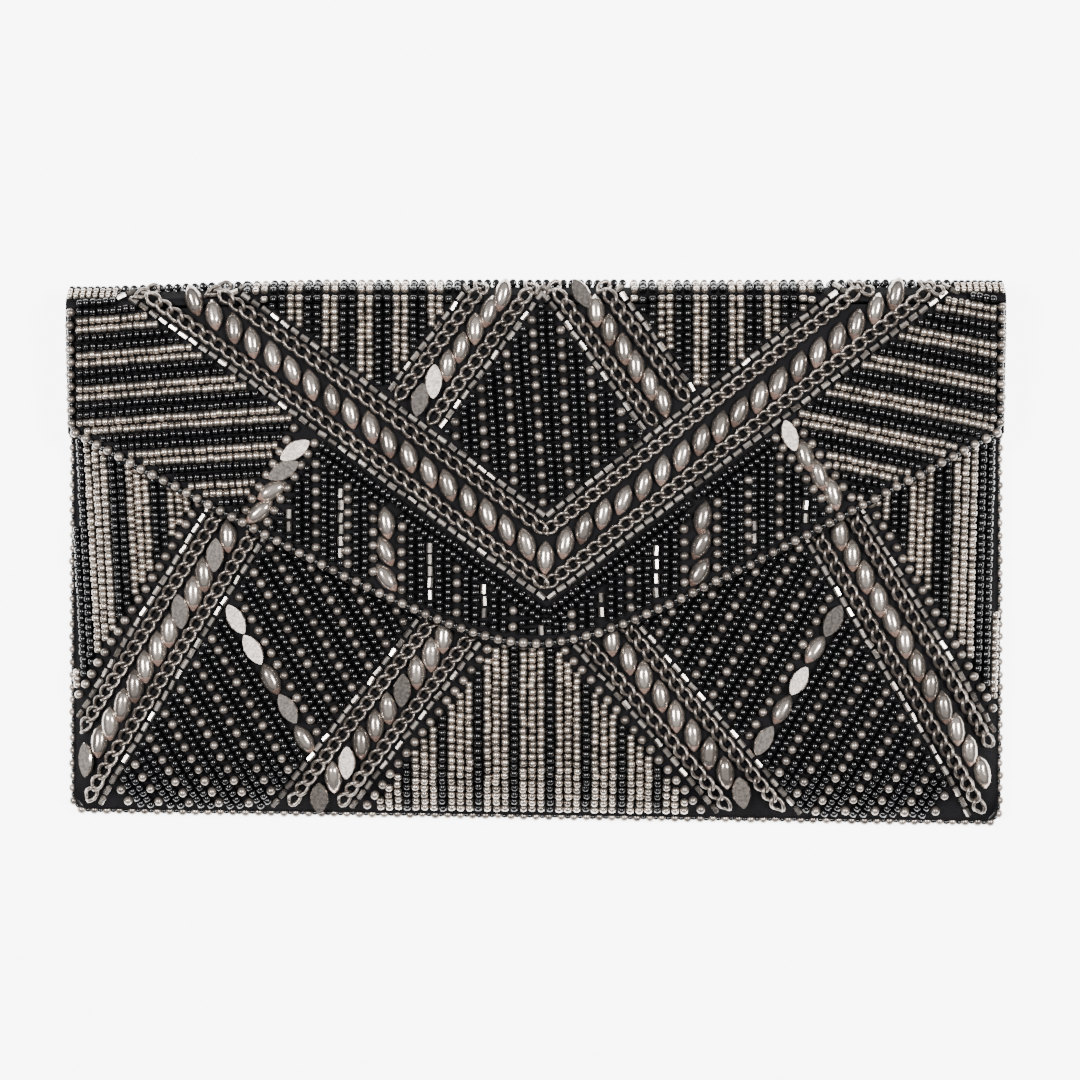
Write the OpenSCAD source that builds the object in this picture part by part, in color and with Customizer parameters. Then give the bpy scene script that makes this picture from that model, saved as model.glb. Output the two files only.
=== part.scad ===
// Beaded envelope clutch, lying on its back.
// X runs along the fold, Y from the bottom edge to the fold, Z up out of the front.
// The origin is under the middle of the purse, on the surface that it lies on.

/* [Body] */
// Width over the edge beads
body_w = 257; // [247:1:267]
// Height from the bottom edge to the outside of the fold
body_h = 149.8; // [146:0.2:156]
// Depth of the empty pocket between the two linings
room = 6.2; // [5.6:0.1:8]
// How much lower the right end of the bottom edge is than the left end
edge_skew = 3.5; // [0:0.1:5]
// Radius of the two bottom corners
corner_r = 5; // [4:0.5:8]
// Distance from the bottom edge up to the pocket's mouth
mouth_h = 140.8; // [136:0.2:143]

/* [Layers] */
// Height of the seed beads above their cloth
bead_t = 2.2; // [2:0.1:2.4]
// Thickness of the satin
cloth_t = 0.5; // [0.4:0.1:0.6]
// Thickness of the stiffening between satin and lining
stiff_t = 0.8; // [0.7:0.1:1]
// Thickness of the lining
lining_t = 0.3; // [0.2:0.1:0.4]

/* [Trims] */
// Length of a marquise stone
stone_l = 7.9; // [7.4:0.1:8]
// Width of a marquise stone
stone_w = 4.1; // [3.8:0.1:4.2]
// Height of a marquise stone above the cloth
stone_h = 2.6; // [2.4:0.1:2.8]
// Width of a curb chain
chain_w = 3.8; // [3.4:0.1:3.8]
// Height of a curb chain above the cloth
chain_h = 1.6; // [1.2:0.1:2]
// Width of a line of bugle beads
bugle_w = 1.4; // [1.2:0.1:1.4]

/* [Flap] */
// Distance from the fold down to the flap's tip
flap_h = 100.2; // [98:0.1:102]
// Slope of the flap's edge away from the tip
flap_slope = 0.554; // [0.52:0.002:0.58]
// Roundness of the flap's tip
tip_round = 24; // [18:1:30]
// Angle of the V band's left arm above the horizontal
v_left = 36.5; // [35:0.1:38]
// Angle of the V band's right arm above the horizontal
v_right = 37.6; // [35:0.1:38]

/* [Hidden] */

side_x = body_w / 2;
bottom_y = -body_h / 2;
mouth_y = bottom_y + mouth_h;
skew_angle = atan(edge_skew / body_w);
seam_inset = 2.1;       // panels end here, inside the binding and the edge beads
flap_in = 1.4;          // the flap and the fold are this much narrower at each side
bead_w = 1.6;           // width of the row of edge beads
far = 400;              // larger than the purse
gap = 0.3;              // clear height between bodies that close on each other

// heights of the layers, from the floor up
back_z = bead_t;                            // outer face of the back satin
pocket_z = back_z + cloth_t + stiff_t + lining_t;
ceiling_z = pocket_z + room;
front_z = ceiling_z + lining_t + stiff_t + cloth_t;
flap_under_z = front_z + stone_h + gap;
flap_z = flap_under_z + lining_t + stiff_t + cloth_t;

// the fold: two narrow strips at 45 degrees with an upright strip between them
wrap_h = flap_z - back_z;
bead_steps = [2, 5];                        // beads along a narrow strip and the upright one
fold_pitch = wrap_h / (2 * bead_steps[0] * sin(45) + bead_steps[1]);
narrow = bead_steps[0] * fold_pitch;
reach = narrow * cos(45);
fold_y = body_h / 2 - bead_t;               // satin face of the upright strip
crease_y = fold_y - reach;
creases = [
    [crease_y, back_z], [fold_y, back_z + reach],
    [fold_y, flap_z - reach], [crease_y, flap_z]
];
bead_cut = 0.15;                            // bead rows stop this far from a crease
satin_cut = 0.4;
lining_cut = 0.8;

// the pillow shape of the front: how far it drops near the seam
edge_run = 8.5;
shoulder_run = 12.5;
shoulder_drop = 1.8;
edge_tilt = atan((room - shoulder_drop) / edge_run);
shoulder_tilt = atan(shoulder_drop / shoulder_run);

// bars of stones on the front, each from its top end down: x, y, x, y, count
bar_far_left = [-83.8, 4.9, -121, -54.4, 13];
bar_left = [-25, -22.5, -58, -64.4, 10];
bar_right = [20.5, -23.3, 55, -63.3, 9];
bar_far_right = [82.5, 5.5, 120.5, -57.6, 12];
// bars of stones on the flap
bar_flap_left = [-12.8, 65.7, -31.2, 41.5, 6];
bar_flap_right = [16.3, 65.6, 34.3, 41.3, 6];
// single lines of stones in the front's two striped fields
line_left = [-81.3, -17.6, -63, -49.9, 5];
line_right = [80.5, -17.6, 62, -50.4, 5];
// small groups on the flap: x, y, x, y, count, and the first and last stone's turn from the Y axis
group_left = [-64.8, 28.3, -74.6, 11.8, 4, -60, -60];
group_right = [68.6, 31.9, 80.2, 16.4, 4, 18, 18];
trio_left = [-40.3, 8.5, -40.5, -6.4, 3, 13, 35];
trio_right = [45, 9.9, 44.2, -4.6, 3, -13, -35];
// the V band
v_apex = [2.7, -0.9];
v_pitch = 6.56;
v_count = 16;
v_stones_right = v_right - 0.5;   // the right arm's stones drift towards its lower chain
v_chain_off = 5.8;
v_bugle_off = 9;
v_half = 9.9;
bar_chain_off = 5.4;
bar_bugle_off = 8.3;
bar_half = 9;
stone_lean = 12;
hidden_rows = 6;        // how far the front's beads run on under the flap

snap_at = [0, -8.1];
plate_r = 8;
stud_r = 6;
pin_r = 2.4;
socket_r = 7;
socket_h = 1.9;
magnet_r = [3.2, 6.2];

// ---- outlines ----

// the bottom edge's Y at x, before any inset
function bottom_at(x) = bottom_y + edge_skew * (0.5 - x / body_w);
function arc(c, r, a0, a1) =
    [for (i = [0 : 6]) [c[0] + r * cos(a0 + (a1 - a0) * i / 6), c[1] + r * sin(a0 + (a1 - a0) * i / 6)]];
// the flap's free edge, straight arms that meet in a rounded tip
function flap_edge(x) =
    body_h / 2 - flap_h + flap_slope * (sqrt(x * x + tip_round * tip_round) - tip_round);
function along(bar, t) = [bar[0] + (bar[2] - bar[0]) * t, bar[1] + (bar[3] - bar[1]) * t];
function heading(bar) = atan2(bar[3] - bar[1], bar[2] - bar[0]);

module panel(inset, top) {
    r = max(corner_r - inset, 0.5);
    x = side_x - inset;
    right = bottom_at(x) + inset;
    left = bottom_at(-x) + inset;
    polygon(concat(
        [[x, top]], arc([x - r, right + r], r, 0, -90),
        arc([-x + r, left + r], r, -90, -180), [[-x, top]]
    ));
}

module flap_outline(inset, top) {
    x = side_x - flap_in - inset;
    polygon(concat(
        [[-x, top]],
        [for (i = [-12 : 12]) [x * i / 12, flap_edge(x * i / 12) + inset * 1.12]],
        [[x, top]]
    ));
}

// everything that lies lower on the front than the flap's edge plus a margin
module below_flap(margin) {
    polygon(concat(
        [[-side_x, -far]],
        [for (i = [-12 : 12]) [side_x * i / 12, flap_edge(side_x * i / 12) + margin]],
        [[side_x, -far]]
    ));
}

// the half planes left and right of a bar, seen along it, that start off its axis
module left_of(bar, off) {
    translate([bar[0], bar[1]]) rotate(heading(bar)) translate([-far, off]) square([2 * far, far]);
}

module right_of(bar, off) {
    translate([bar[0], bar[1]]) rotate(heading(bar)) translate([-far, -far - off]) square([2 * far, far]);
}

module bar_strip(bar, off, w) {
    translate([bar[0], bar[1]]) rotate(heading(bar)) translate([-far / 2, off - w / 2]) square([far, w]);
}

// the inside of the V, moved off its centre line
module above_v(off) {
    intersection() {
        translate(v_apex) rotate(v_right) translate([-far, off]) square([2 * far, far]);
        translate(v_apex) rotate(-v_left) translate([-far, off]) square([2 * far, far]);
    }
}

module v_strip(off, w) {
    difference() {
        above_v(off - w / 2);
        above_v(off + w / 2);
    }
}

// a clear bed around a row of stones that stands alone
module bed(row, w, extra) {
    run = norm([row[2] - row[0], row[3] - row[1]]);
    translate([row[0], row[1]]) rotate(heading(row)) translate([-extra, -w / 2])
        square([run + 2 * extra, w]);
}

// ---- the front's pillow surface ----

// seam to flat: distance in from the seam, and height below the flat
profile = [
    [-3, room + 3 * tan(edge_tilt)], [edge_run, shoulder_drop], [edge_run + shoulder_run, 0]
];

module side_profile(z) {
    edge = side_x - seam_inset;
    half = [for (p = profile) [edge - p[0], z - p[1]]];
    other = [for (i = [len(profile) - 1 : -1 : 0]) [profile[i][0] - edge, z - profile[i][1]]];
    polygon(concat(half, other, [[-edge - 3, -far]], [[edge + 3, -far]]));
}

module bottom_profile(z) {
    polygon(concat(
        [for (p = profile) [p[0], z - p[1]]], [[far, z], [far, -far], [-3, -far]]
    ));
}

// the solid under the pillow surface whose flat top is at z
module mound(z) {
    intersection() {
        rotate([90, 0, 0]) linear_extrude(2 * far, center = true) side_profile(z);
        translate([0, bottom_at(0) + seam_inset, 0]) rotate(-skew_angle) rotate([90, 0, 90])
            linear_extrude(2 * far, center = true) bottom_profile(z);
    }
}

// a layer of the front over the 2D shape that it is given, with its outer face at z
module front_layer(z, t) {
    intersection() {
        difference() {
            mound(z);
            translate([0, 0, -t]) mound(z);
        }
        linear_extrude(z + 1) children();
    }
}

function seam_x(p) = side_x - seam_inset - abs(p[0]);
function seam_y(p) = (p[1] - bottom_at(p[0]) - seam_inset) * cos(skew_angle);
function drop_at(d) =
    d >= edge_run + shoulder_run ? 0
    : d >= edge_run ? (edge_run + shoulder_run - d) * tan(shoulder_tilt)
    : shoulder_drop + (edge_run - d) * tan(edge_tilt);
function tilt_at(d) = d >= edge_run + shoulder_run ? 0 : d >= edge_run ? shoulder_tilt : edge_tilt;

// puts a shape on the front's satin at p, tilted with the facet that p is on
module on_front(p) {
    by_side = drop_at(seam_x(p)) >= drop_at(seam_y(p));
    d = by_side ? seam_x(p) : seam_y(p);
    turn = by_side ? [0, sign(p[0]) * tilt_at(d), 0] : [tilt_at(d), 0, -skew_angle];
    translate([p[0], p[1], front_z - drop_at(d)]) rotate(turn) children();
}

// ---- stones ----

// a marquise: two arcs in plan under a domed top, its long axis along Y
module stone() {
    plan_r = (stone_l * stone_l + stone_w * stone_w) / (4 * stone_w);
    dome_r = 5;
    intersection() {
        translate([plan_r - stone_w / 2, 0, 0]) cylinder(r = plan_r, h = stone_h, $fn = 64);
        translate([stone_w / 2 - plan_r, 0, 0]) cylinder(r = plan_r, h = stone_h, $fn = 64);
        translate([0, 0, stone_h - dome_r]) sphere(r = dome_r, $fn = 64);
    }
}

module front_row(bar, turn) {
    for (i = [0 : bar[4] - 1])
        on_front(along(bar, i / (bar[4] - 1))) rotate(turn) stone();
}

module flap_row(bar, turn, last_turn) {
    for (i = [0 : bar[4] - 1]) {
        t = i / (bar[4] - 1);
        translate(concat(along(bar, t), flap_z)) rotate(turn + (last_turn - turn) * t) stone();
    }
}

// ---- back ----

module back_layer(z, t, inset, top) {
    translate([0, 0, z]) linear_extrude(t) panel(inset, top);
}

module back_beadwork() {
    color("#55514D") back_layer(0, bead_t, seam_inset - 0.9, crease_y - bead_cut);
}

module back_satin() {
    color("#1C1B1D") back_layer(back_z, cloth_t, seam_inset, crease_y - satin_cut);
}

module back_stiffener() {
    color("#8A857C") back_layer(back_z + cloth_t, stiff_t, seam_inset, crease_y - lining_cut);
}

module back_lining() {
    color("#2A282B") back_layer(pocket_z - lining_t, lining_t, seam_inset, crease_y - lining_cut);
}

module slip_pocket() {
    pocket = [118, 78];
    color("#2A282B") translate([-pocket[0] / 2, mouth_y - 14 - pocket[1], pocket_z])
        cube([pocket[0], pocket[1], lining_t]);
}

// ---- front ----

module front_satin() {
    color("#1C1B1D") front_layer(front_z, cloth_t) panel(seam_inset, mouth_y);
}

module front_stiffener() {
    color("#8A857C") difference() {
        front_layer(front_z - cloth_t, stiff_t) panel(seam_inset, mouth_y);
        translate([snap_at[0], snap_at[1], ceiling_z])
            cylinder(r = plate_r + gap, h = front_z, $fn = 48);
    }
}

module front_lining() {
    color("#2A282B") front_layer(ceiling_z + lining_t, lining_t) panel(seam_inset, mouth_y);
}

module front_beads() {
    color("#4A4744") front_layer(front_z + bead_t, bead_t) intersection() {
        panel(seam_inset, mouth_y);
        below_flap(hidden_rows);
        children();
    }
}

module front_beads_far_left() {
    front_beads() right_of(bar_far_left, bar_half);
}

module front_beads_left() {
    front_beads() difference() {
        left_of(bar_far_left, bar_half);
        left_of(bar_left, -bar_half);
        bed(line_left, stone_w + 0.6, stone_l / 2 + 0.4);
    }
}

module front_beads_centre() {
    front_beads() intersection() {
        left_of(bar_left, bar_half);
        right_of(bar_right, bar_half);
    }
}

module front_beads_right() {
    front_beads() difference() {
        left_of(bar_right, bar_half);
        left_of(bar_far_right, -bar_half);
        bed(line_right, stone_w + 0.6, stone_l / 2 + 0.4);
    }
}

module front_beads_far_right() {
    front_beads() left_of(bar_far_right, bar_half);
}

module front_stones_far_left() {
    color("#8D857D") front_row(bar_far_left, 0);
}

module front_stones_left() {
    color("#8D857D") front_row(bar_left, 0);
}

module front_stones_right() {
    color("#8D857D") front_row(bar_right, 4);
}

module front_stones_far_right() {
    color("#8D857D") front_row(bar_far_right, 4);
}

module front_stone_line_left() {
    color("#8D857D") front_row(line_left, heading(line_left) + 90);
}

module front_stone_line_right() {
    color("#8D857D") front_row(line_right, heading(line_right) + 90);
}

module front_trim(h) {
    front_layer(front_z + h, h) intersection() {
        panel(seam_inset + 1, mouth_y);
        below_flap(hidden_rows);
        union() children();
    }
}

module bar_chains(bar) {
    for (side = [-1, 1]) bar_strip(bar, side * bar_chain_off, chain_w);
}

module bar_bugles(bar) {
    for (side = [-1, 1]) bar_strip(bar, side * bar_bugle_off, bugle_w);
}

module front_chains_left() {
    color("#7D7570") front_trim(chain_h) {
        bar_chains(bar_far_left);
        bar_chains(bar_left);
    }
}

module front_chains_right() {
    color("#7D7570") front_trim(chain_h) {
        bar_chains(bar_right);
        bar_chains(bar_far_right);
    }
}

module front_bugles() {
    color("#B9B1A8") front_trim(bugle_w) {
        bar_bugles(bar_far_left);
        bar_bugles(bar_left);
        bar_bugles(bar_right);
        bar_bugles(bar_far_right);
    }
}

// ---- seam round the pocket ----

module seam_ring(outer, inner, z, h) {
    translate([0, 0, z]) linear_extrude(h) difference() {
        panel(outer, mouth_y);
        panel(inner, mouth_y + 1);
    }
}

module seam_binding() {
    color("#1C1B1D") seam_ring(bead_w, seam_inset, back_z, front_z - room - back_z);
}

module seam_beads() {
    color("#8C857D") seam_ring(0, bead_w, back_z + 0.4, 2.4);
}

// ---- magnetic snap ----

module snap_socket() {
    color("#6F6A66") translate([snap_at[0], snap_at[1], front_z]) difference() {
        cylinder(r = socket_r, h = socket_h, $fn = 64);
        translate([0, 0, 0.3]) cylinder(r = pin_r + 0.3, h = socket_h, $fn = 48);
        translate([0, 0, 0.3]) difference() {
            cylinder(r = magnet_r[1], h = socket_h - 0.7, $fn = 64);
            cylinder(r = magnet_r[0], h = socket_h, $fn = 48);
        }
    }
}

module snap_magnet() {
    color("#4B4A4C") translate([snap_at[0], snap_at[1], front_z + 0.32]) difference() {
        cylinder(r = magnet_r[1] - 0.05, h = socket_h - 0.74, $fn = 64);
        translate([0, 0, -1]) cylinder(r = magnet_r[0] + 0.05, h = socket_h + 2, $fn = 48);
    }
}

module snap_socket_plate() {
    color("#A09A94") translate([snap_at[0], snap_at[1], front_z - cloth_t - stiff_t])
        cylinder(r = plate_r, h = stiff_t, $fn = 64);
}

module snap_stud() {
    cap_h = 0.6;
    color("#6F6A66") translate([snap_at[0], snap_at[1], flap_under_z - cap_h]) {
        cylinder(r = stud_r, h = cap_h, $fn = 64);
        translate([0, 0, -1.5]) cylinder(r = pin_r, h = 1.5, $fn = 48);
    }
}

module snap_stud_plate() {
    color("#A09A94") translate([snap_at[0], snap_at[1], flap_under_z + lining_t])
        cylinder(r = plate_r, h = stiff_t, $fn = 64);
}

// ---- fold ----

// strip i of the fold: a slab from depth a to depth b inside its satin face
module fold_strip(i, cut, a, b) {
    p = creases[i];
    q = creases[i + 1];
    u = (q - p) / norm(q - p);
    n = [-u[1], u[0]];
    rotate([90, 0, 90]) linear_extrude(2 * (side_x - flap_in), center = true)
        polygon([p + cut * u + a * n, q - cut * u + a * n, q - cut * u + b * n, p + cut * u + b * n]);
}

module fold_satin(i) {
    color("#1C1B1D") fold_strip(i, satin_cut, 0, cloth_t);
}

module fold_lining(i) {
    color("#2A282B") fold_strip(i, lining_cut, cloth_t, cloth_t + lining_t);
}

module fold_beads(i) {
    color("#55514D") fold_strip(i, bead_cut, -bead_t, 0);
}

// ---- flap ----

module flap_layer(z, t, inset, cut) {
    translate([0, 0, z]) linear_extrude(t) flap_outline(inset, crease_y - cut);
}

module flap_satin() {
    color("#1C1B1D") flap_layer(flap_z - cloth_t, cloth_t, 0, satin_cut);
}

module flap_stiffener() {
    color("#8A857C") difference() {
        flap_layer(flap_under_z + lining_t, stiff_t, 1, lining_cut);
        translate([snap_at[0], snap_at[1], 0]) cylinder(r = plate_r + gap, h = 2 * flap_z, $fn = 48);
    }
}

module flap_lining() {
    color("#2A282B") flap_layer(flap_under_z, lining_t, 0.6, lining_cut);
}

// a layer of trim on the flap, inside its edge beads
module flap_trim(h) {
    translate([0, 0, flap_z]) linear_extrude(h) intersection() {
        flap_outline(2.5, crease_y - bead_cut);
        union() children();
    }
}

module flap_beads() {
    color("#4A4744") flap_trim(bead_t) children();
}

module below_v() {
    difference() {
        square(2 * far, center = true);
        above_v(-v_half);
    }
}

module flap_beads_left() {
    flap_beads() intersection() {
        below_v();
        right_of(group_left, 3.6);
    }
}

module flap_beads_right() {
    flap_beads() intersection() {
        below_v();
        left_of(group_right, 3.6);
    }
}

module flap_beads_low() {
    flap_beads() difference() {
        below_v();
        right_of(group_left, -3.6);
        left_of(group_right, -3.6);
        bed(trio_left, stone_w + 2.4, stone_l / 2 + 0.4);
        bed(trio_right, stone_w + 2.4, stone_l / 2 + 0.4);
    }
}

module flap_beads_upper_left() {
    flap_beads() intersection() {
        above_v(v_half);
        right_of(bar_flap_left, bar_half);
    }
}

module flap_beads_upper_right() {
    flap_beads() intersection() {
        above_v(v_half);
        left_of(bar_flap_right, bar_half);
    }
}

module flap_beads_diamond() {
    flap_beads() intersection() {
        above_v(v_half);
        left_of(bar_flap_left, bar_half);
        right_of(bar_flap_right, bar_half);
    }
}

module flap_edge_beads() {
    color("#8C857D") translate([0, 0, flap_z]) linear_extrude(bead_t) difference() {
        flap_outline(0.3, crease_y - bead_cut);
        flap_outline(2.4, crease_y + 1);
    }
}

module flap_chain_v_upper() {
    color("#7D7570") flap_trim(chain_h) v_strip(v_chain_off, chain_w);
}

module flap_chain_v_lower() {
    color("#7D7570") flap_trim(chain_h) v_strip(-v_chain_off, chain_w);
}

module flap_chains_bar_left() {
    color("#7D7570") flap_trim(chain_h) intersection() {
        above_v(v_half);
        bar_chains(bar_flap_left);
    }
}

module flap_chains_bar_right() {
    color("#7D7570") flap_trim(chain_h) intersection() {
        above_v(v_half);
        bar_chains(bar_flap_right);
    }
}

module flap_bugles() {
    color("#B9B1A8") flap_trim(bugle_w) {
        v_strip(v_bugle_off, bugle_w);
        v_strip(-v_bugle_off, bugle_w);
        intersection() {
            above_v(v_half);
            union() {
                bar_bugles(bar_flap_left);
                bar_bugles(bar_flap_right);
            }
        }
    }
}

module flap_stones_v() {
    color("#8D857D") {
        translate(concat(v_apex, flap_z)) stone();
        for (arm = [[-1, v_left], [1, v_stones_right]], k = [1 : v_count])
            translate([
                v_apex[0] + arm[0] * k * v_pitch * cos(arm[1]),
                v_apex[1] + k * v_pitch * sin(arm[1]), flap_z
            ]) rotate(-arm[0] * stone_lean) stone();
    }
}

module flap_stones_bar_left() {
    color("#8D857D") flap_row(bar_flap_left, -8, -8);
}

module flap_stones_bar_right() {
    color("#8D857D") flap_row(bar_flap_right, 8, 8);
}

module flap_stones_small() {
    color("#B5ACA3") for (row = [group_left, group_right, trio_left, trio_right])
        flap_row(row, row[5], row[6]);
}

back_beadwork();
back_satin();
back_stiffener();
back_lining();
slip_pocket();
front_satin();
front_stiffener();
front_lining();
front_beads_far_left();
front_beads_left();
front_beads_centre();
front_beads_right();
front_beads_far_right();
front_stones_far_left();
front_stones_left();
front_stones_right();
front_stones_far_right();
front_stone_line_left();
front_stone_line_right();
front_chains_left();
front_chains_right();
front_bugles();
seam_binding();
seam_beads();
snap_socket();
snap_magnet();
snap_socket_plate();
fold_satin(0);  // fold_lower_satin
fold_lining(0);  // fold_lower_lining
fold_beads(0);  // fold_lower_beads
fold_satin(1);  // fold_middle_satin
fold_lining(1);  // fold_middle_lining
fold_beads(1);  // fold_middle_beads
fold_satin(2);  // fold_upper_satin
fold_lining(2);  // fold_upper_lining
fold_beads(2);  // fold_upper_beads
flap_satin();
flap_stiffener();
flap_lining();
flap_beads_left();
flap_beads_right();
flap_beads_low();
flap_beads_upper_left();
flap_beads_upper_right();
flap_beads_diamond();
flap_edge_beads();
flap_chain_v_upper();
flap_chain_v_lower();
flap_chains_bar_left();
flap_chains_bar_right();
flap_bugles();
flap_stones_v();
flap_stones_bar_left();
flap_stones_bar_right();
flap_stones_small();
snap_stud();
snap_stud_plate();
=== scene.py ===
"""The looks of a beaded envelope clutch that lies on its back, closed by a magnetic snap.

Everything is laid out in millimetres and made into metres when a mesh is built. X runs along
the fold, Y from the bottom edge to the fold, and Z up out of the front.
"""

import math

import bpy
import numpy as np
from bpy.props import FloatProperty, FloatVectorProperty, PointerProperty
from bpy.types import Operator, Panel, PropertyGroup
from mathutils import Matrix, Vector


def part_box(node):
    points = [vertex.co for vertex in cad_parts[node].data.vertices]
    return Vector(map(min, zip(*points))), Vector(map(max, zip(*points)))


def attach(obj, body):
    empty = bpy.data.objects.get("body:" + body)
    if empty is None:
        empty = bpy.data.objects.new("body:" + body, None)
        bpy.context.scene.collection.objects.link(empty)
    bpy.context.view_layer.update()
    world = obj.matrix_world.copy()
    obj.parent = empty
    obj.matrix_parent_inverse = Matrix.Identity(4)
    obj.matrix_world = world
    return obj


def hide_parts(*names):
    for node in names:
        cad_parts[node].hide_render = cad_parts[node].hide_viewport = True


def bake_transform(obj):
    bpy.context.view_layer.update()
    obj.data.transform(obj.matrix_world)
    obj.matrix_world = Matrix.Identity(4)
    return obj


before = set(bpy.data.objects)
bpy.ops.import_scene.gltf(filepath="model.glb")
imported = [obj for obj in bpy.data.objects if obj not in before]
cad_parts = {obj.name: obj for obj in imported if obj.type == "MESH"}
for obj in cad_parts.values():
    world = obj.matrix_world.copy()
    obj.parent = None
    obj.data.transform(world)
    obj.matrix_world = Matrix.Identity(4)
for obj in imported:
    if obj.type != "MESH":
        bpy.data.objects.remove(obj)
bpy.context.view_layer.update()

bl_info = {
    "name": "Beaded clutch",
    "version": (1, 0, 0),
    "blender": (4, 5, 0),
    "location": "3D View > Sidebar > Clutch",
    "description": "Cloth, beads, chains, stones and snap of a beaded envelope clutch",
    "category": "Add Mesh",
}

MM = 0.001


def edge_of(node, side, axis):
    """A CAD node's lowest (side 0) or highest (side 1) place on an axis, in millimetres."""
    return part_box(node)[side][axis] / MM


# ---- the purse's main places, from the frame ----
SIDE = edge_of("seam_beads", 1, 0)
BOTTOM = edge_of("seam_beads", 0, 1)
MOUTH = edge_of("front_satin", 1, 1)
BACK_Z = edge_of("back_satin", 0, 2)
CASE_Z = edge_of("back_lining", 1, 2)
CEILING_Z = edge_of("front_lining", 1, 2) - 0.3
FRONT_Z = edge_of("front_satin", 1, 2)
UNDER_Z = edge_of("flap_lining", 0, 2)
FLAP_Z = edge_of("flap_satin", 1, 2)
FOLD_Y = edge_of("fold_middle_satin", 1, 1)
ROOM = CEILING_Z - CASE_Z
SATIN = 0.5
STIFF = 0.8
LINING = 0.3
INSET = 2.1                       # the panels end here, inside the binding
SKEW = 3.5                        # the bottom edge's right end is this much lower
FLAP_SIDE = SIDE - 1.4            # half the width of the flap and the fold
TIP = edge_of("flap_satin", 0, 1)
CORNER = 2.9                      # radius of the pocket's two lower corners
# the flap's free edge: how steeply its two arms rise, and how wide its tip is rounded
EDGE_RISE, EDGE_ROUND = 0.554, 24.0
# beadwork stays this far in from the seam, and from the flap's free edge
PANEL_MARGIN, CHAIN_MARGIN, FLAP_MARGIN = 3.45, 5.2, 2.95
# rows on the front run this far up under the flap's edge
UNDER_FLAP = 6.0
# the pillow shape of the front: how wide its roll to the seam is, and how sharply it drops
ROLL, ROLL_POWER = 21.0, 2.5
# the fold's left corner sinks by this much, growing over these stretches of X and Y
SAG = 1.7
SAG_X = (-55, -123)
SAG_Y = (25, 70)
# the flap's outer corners sink by this much, growing over these stretches of X and Y
DROOP = 3.0
DROOP_X = (94.0, 126.0)
DROOP_Y = (66.0, 32.0)
# the fold: two narrow strips, two beads deep, with an upright strip of five between them
STEPS = (2, 5, 2)
FOLD_PITCH = (FLAP_Z - BACK_Z) / (4 * math.sin(math.pi / 4) + 5)
REACH = STEPS[0] * FOLD_PITCH * math.cos(math.pi / 4)
CREASE_Y = FOLD_Y - REACH
CREASES = np.array([
    (CREASE_Y, BACK_Z), (FOLD_Y, BACK_Z + REACH), (FOLD_Y, FLAP_Z - REACH), (CREASE_Y, FLAP_Z),
])
STRIPS = ("fold_lower", "fold_middle", "fold_upper")

# ---- the design: bars of stones from their top ends down, as x, y, x, y, count ----
BARS = {
    "far_left": (-83.8, 4.9, -121, -54.4, 13),
    "left": (-25, -22.5, -58, -64.4, 10),
    "right": (20.5, -23.3, 55, -63.3, 9),
    "far_right": (82.5, 5.5, 120.5, -57.6, 12),
    "flap_left": (-12.8, 65.7, -31.2, 41.5, 6),
    "flap_right": (16.3, 65.6, 34.3, 41.3, 6),
}
LINES = {
    "left": (-81.3, -17.6, -63, -49.9, 5),
    "right": (80.5, -17.6, 62, -50.4, 5),
}
# small groups on the flap, with the first and last stone's turn from the Y axis
GROUPS = {
    "group_left": (-64.8, 28.3, -74.6, 11.8, 4, -60, -60),
    "group_right": (68.6, 31.9, 80.2, 16.4, 4, 18, 18),
    "trio_left": (-40.3, 8.5, -40.5, -6.4, 3, 13, 35),
    "trio_right": (45, 9.9, 44.2, -4.6, 3, -13, -35),
}
# the V band: its apex, how steeply its arms rise, and the distance between its stones
V_APEX = (2.7, -0.9)
V_LEFT = math.radians(36.5)
V_RIGHT = math.radians(37.6)
V_STONES_RIGHT = math.radians(37.1)
V_PITCH = 6.56
V_COUNT = 18
# how far chains, bugles, the next field and round beads lie from a band's middle line
V_CHAIN, V_BUGLE, V_HALF = 5.8, 9.0, 10.4
BAR_CHAIN, BAR_BUGLE, BAR_HALF, BAR_FLANK = 5.4, 8.5, 9.8, 11.3


def linear(code):
    """An sRGB hex colour as linear values."""
    parts = [int(code[i:i + 2], 16) / 255 for i in (1, 3, 5)]
    return tuple(p / 12.92 if p <= 0.04045 else ((p + 0.055) / 1.055) ** 2.4 for p in parts)


def length(label, about, millimetres):
    return FloatProperty(
        name=label, description=about, default=millimetres * MM, min=0, soft_max=0.05,
        precision=5, unit="LENGTH", subtype="DISTANCE",
    )


def tint(label, about, code):
    return FloatVectorProperty(
        name=label, description=about, default=linear(code), min=0, max=1, size=3,
        subtype="COLOR",
    )


class ClutchSizes(PropertyGroup):
    seed_width: length("Seed width", "Width of a seed bead across its thread", 2.22)
    seed_length: length("Seed length", "Length of a seed bead along its thread", 1.74)
    round_width: length("Round width", "Diameter of a plated round bead", 2.5)
    edge_width: length("Edge width", "Diameter of the round beads along the edges", 2.6)
    bugle_length: length("Bugle length", "Length of a tube bead", 2.45)
    bugle_width: length("Bugle width", "Width of a tube bead", 1.55)
    link_pitch: length("Link pitch", "Distance from one chain link to the next", 3.55)
    wire: length("Wire", "Thickness of the chain's wire", 1.1)
    stone_length: length("Stone length", "Length of a marquise stone", 9.3)
    stone_width: length("Stone width", "Width of a marquise stone", 4.9)
    stone_height: length("Stone height", "Height of a marquise stone", 2.6)


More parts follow.
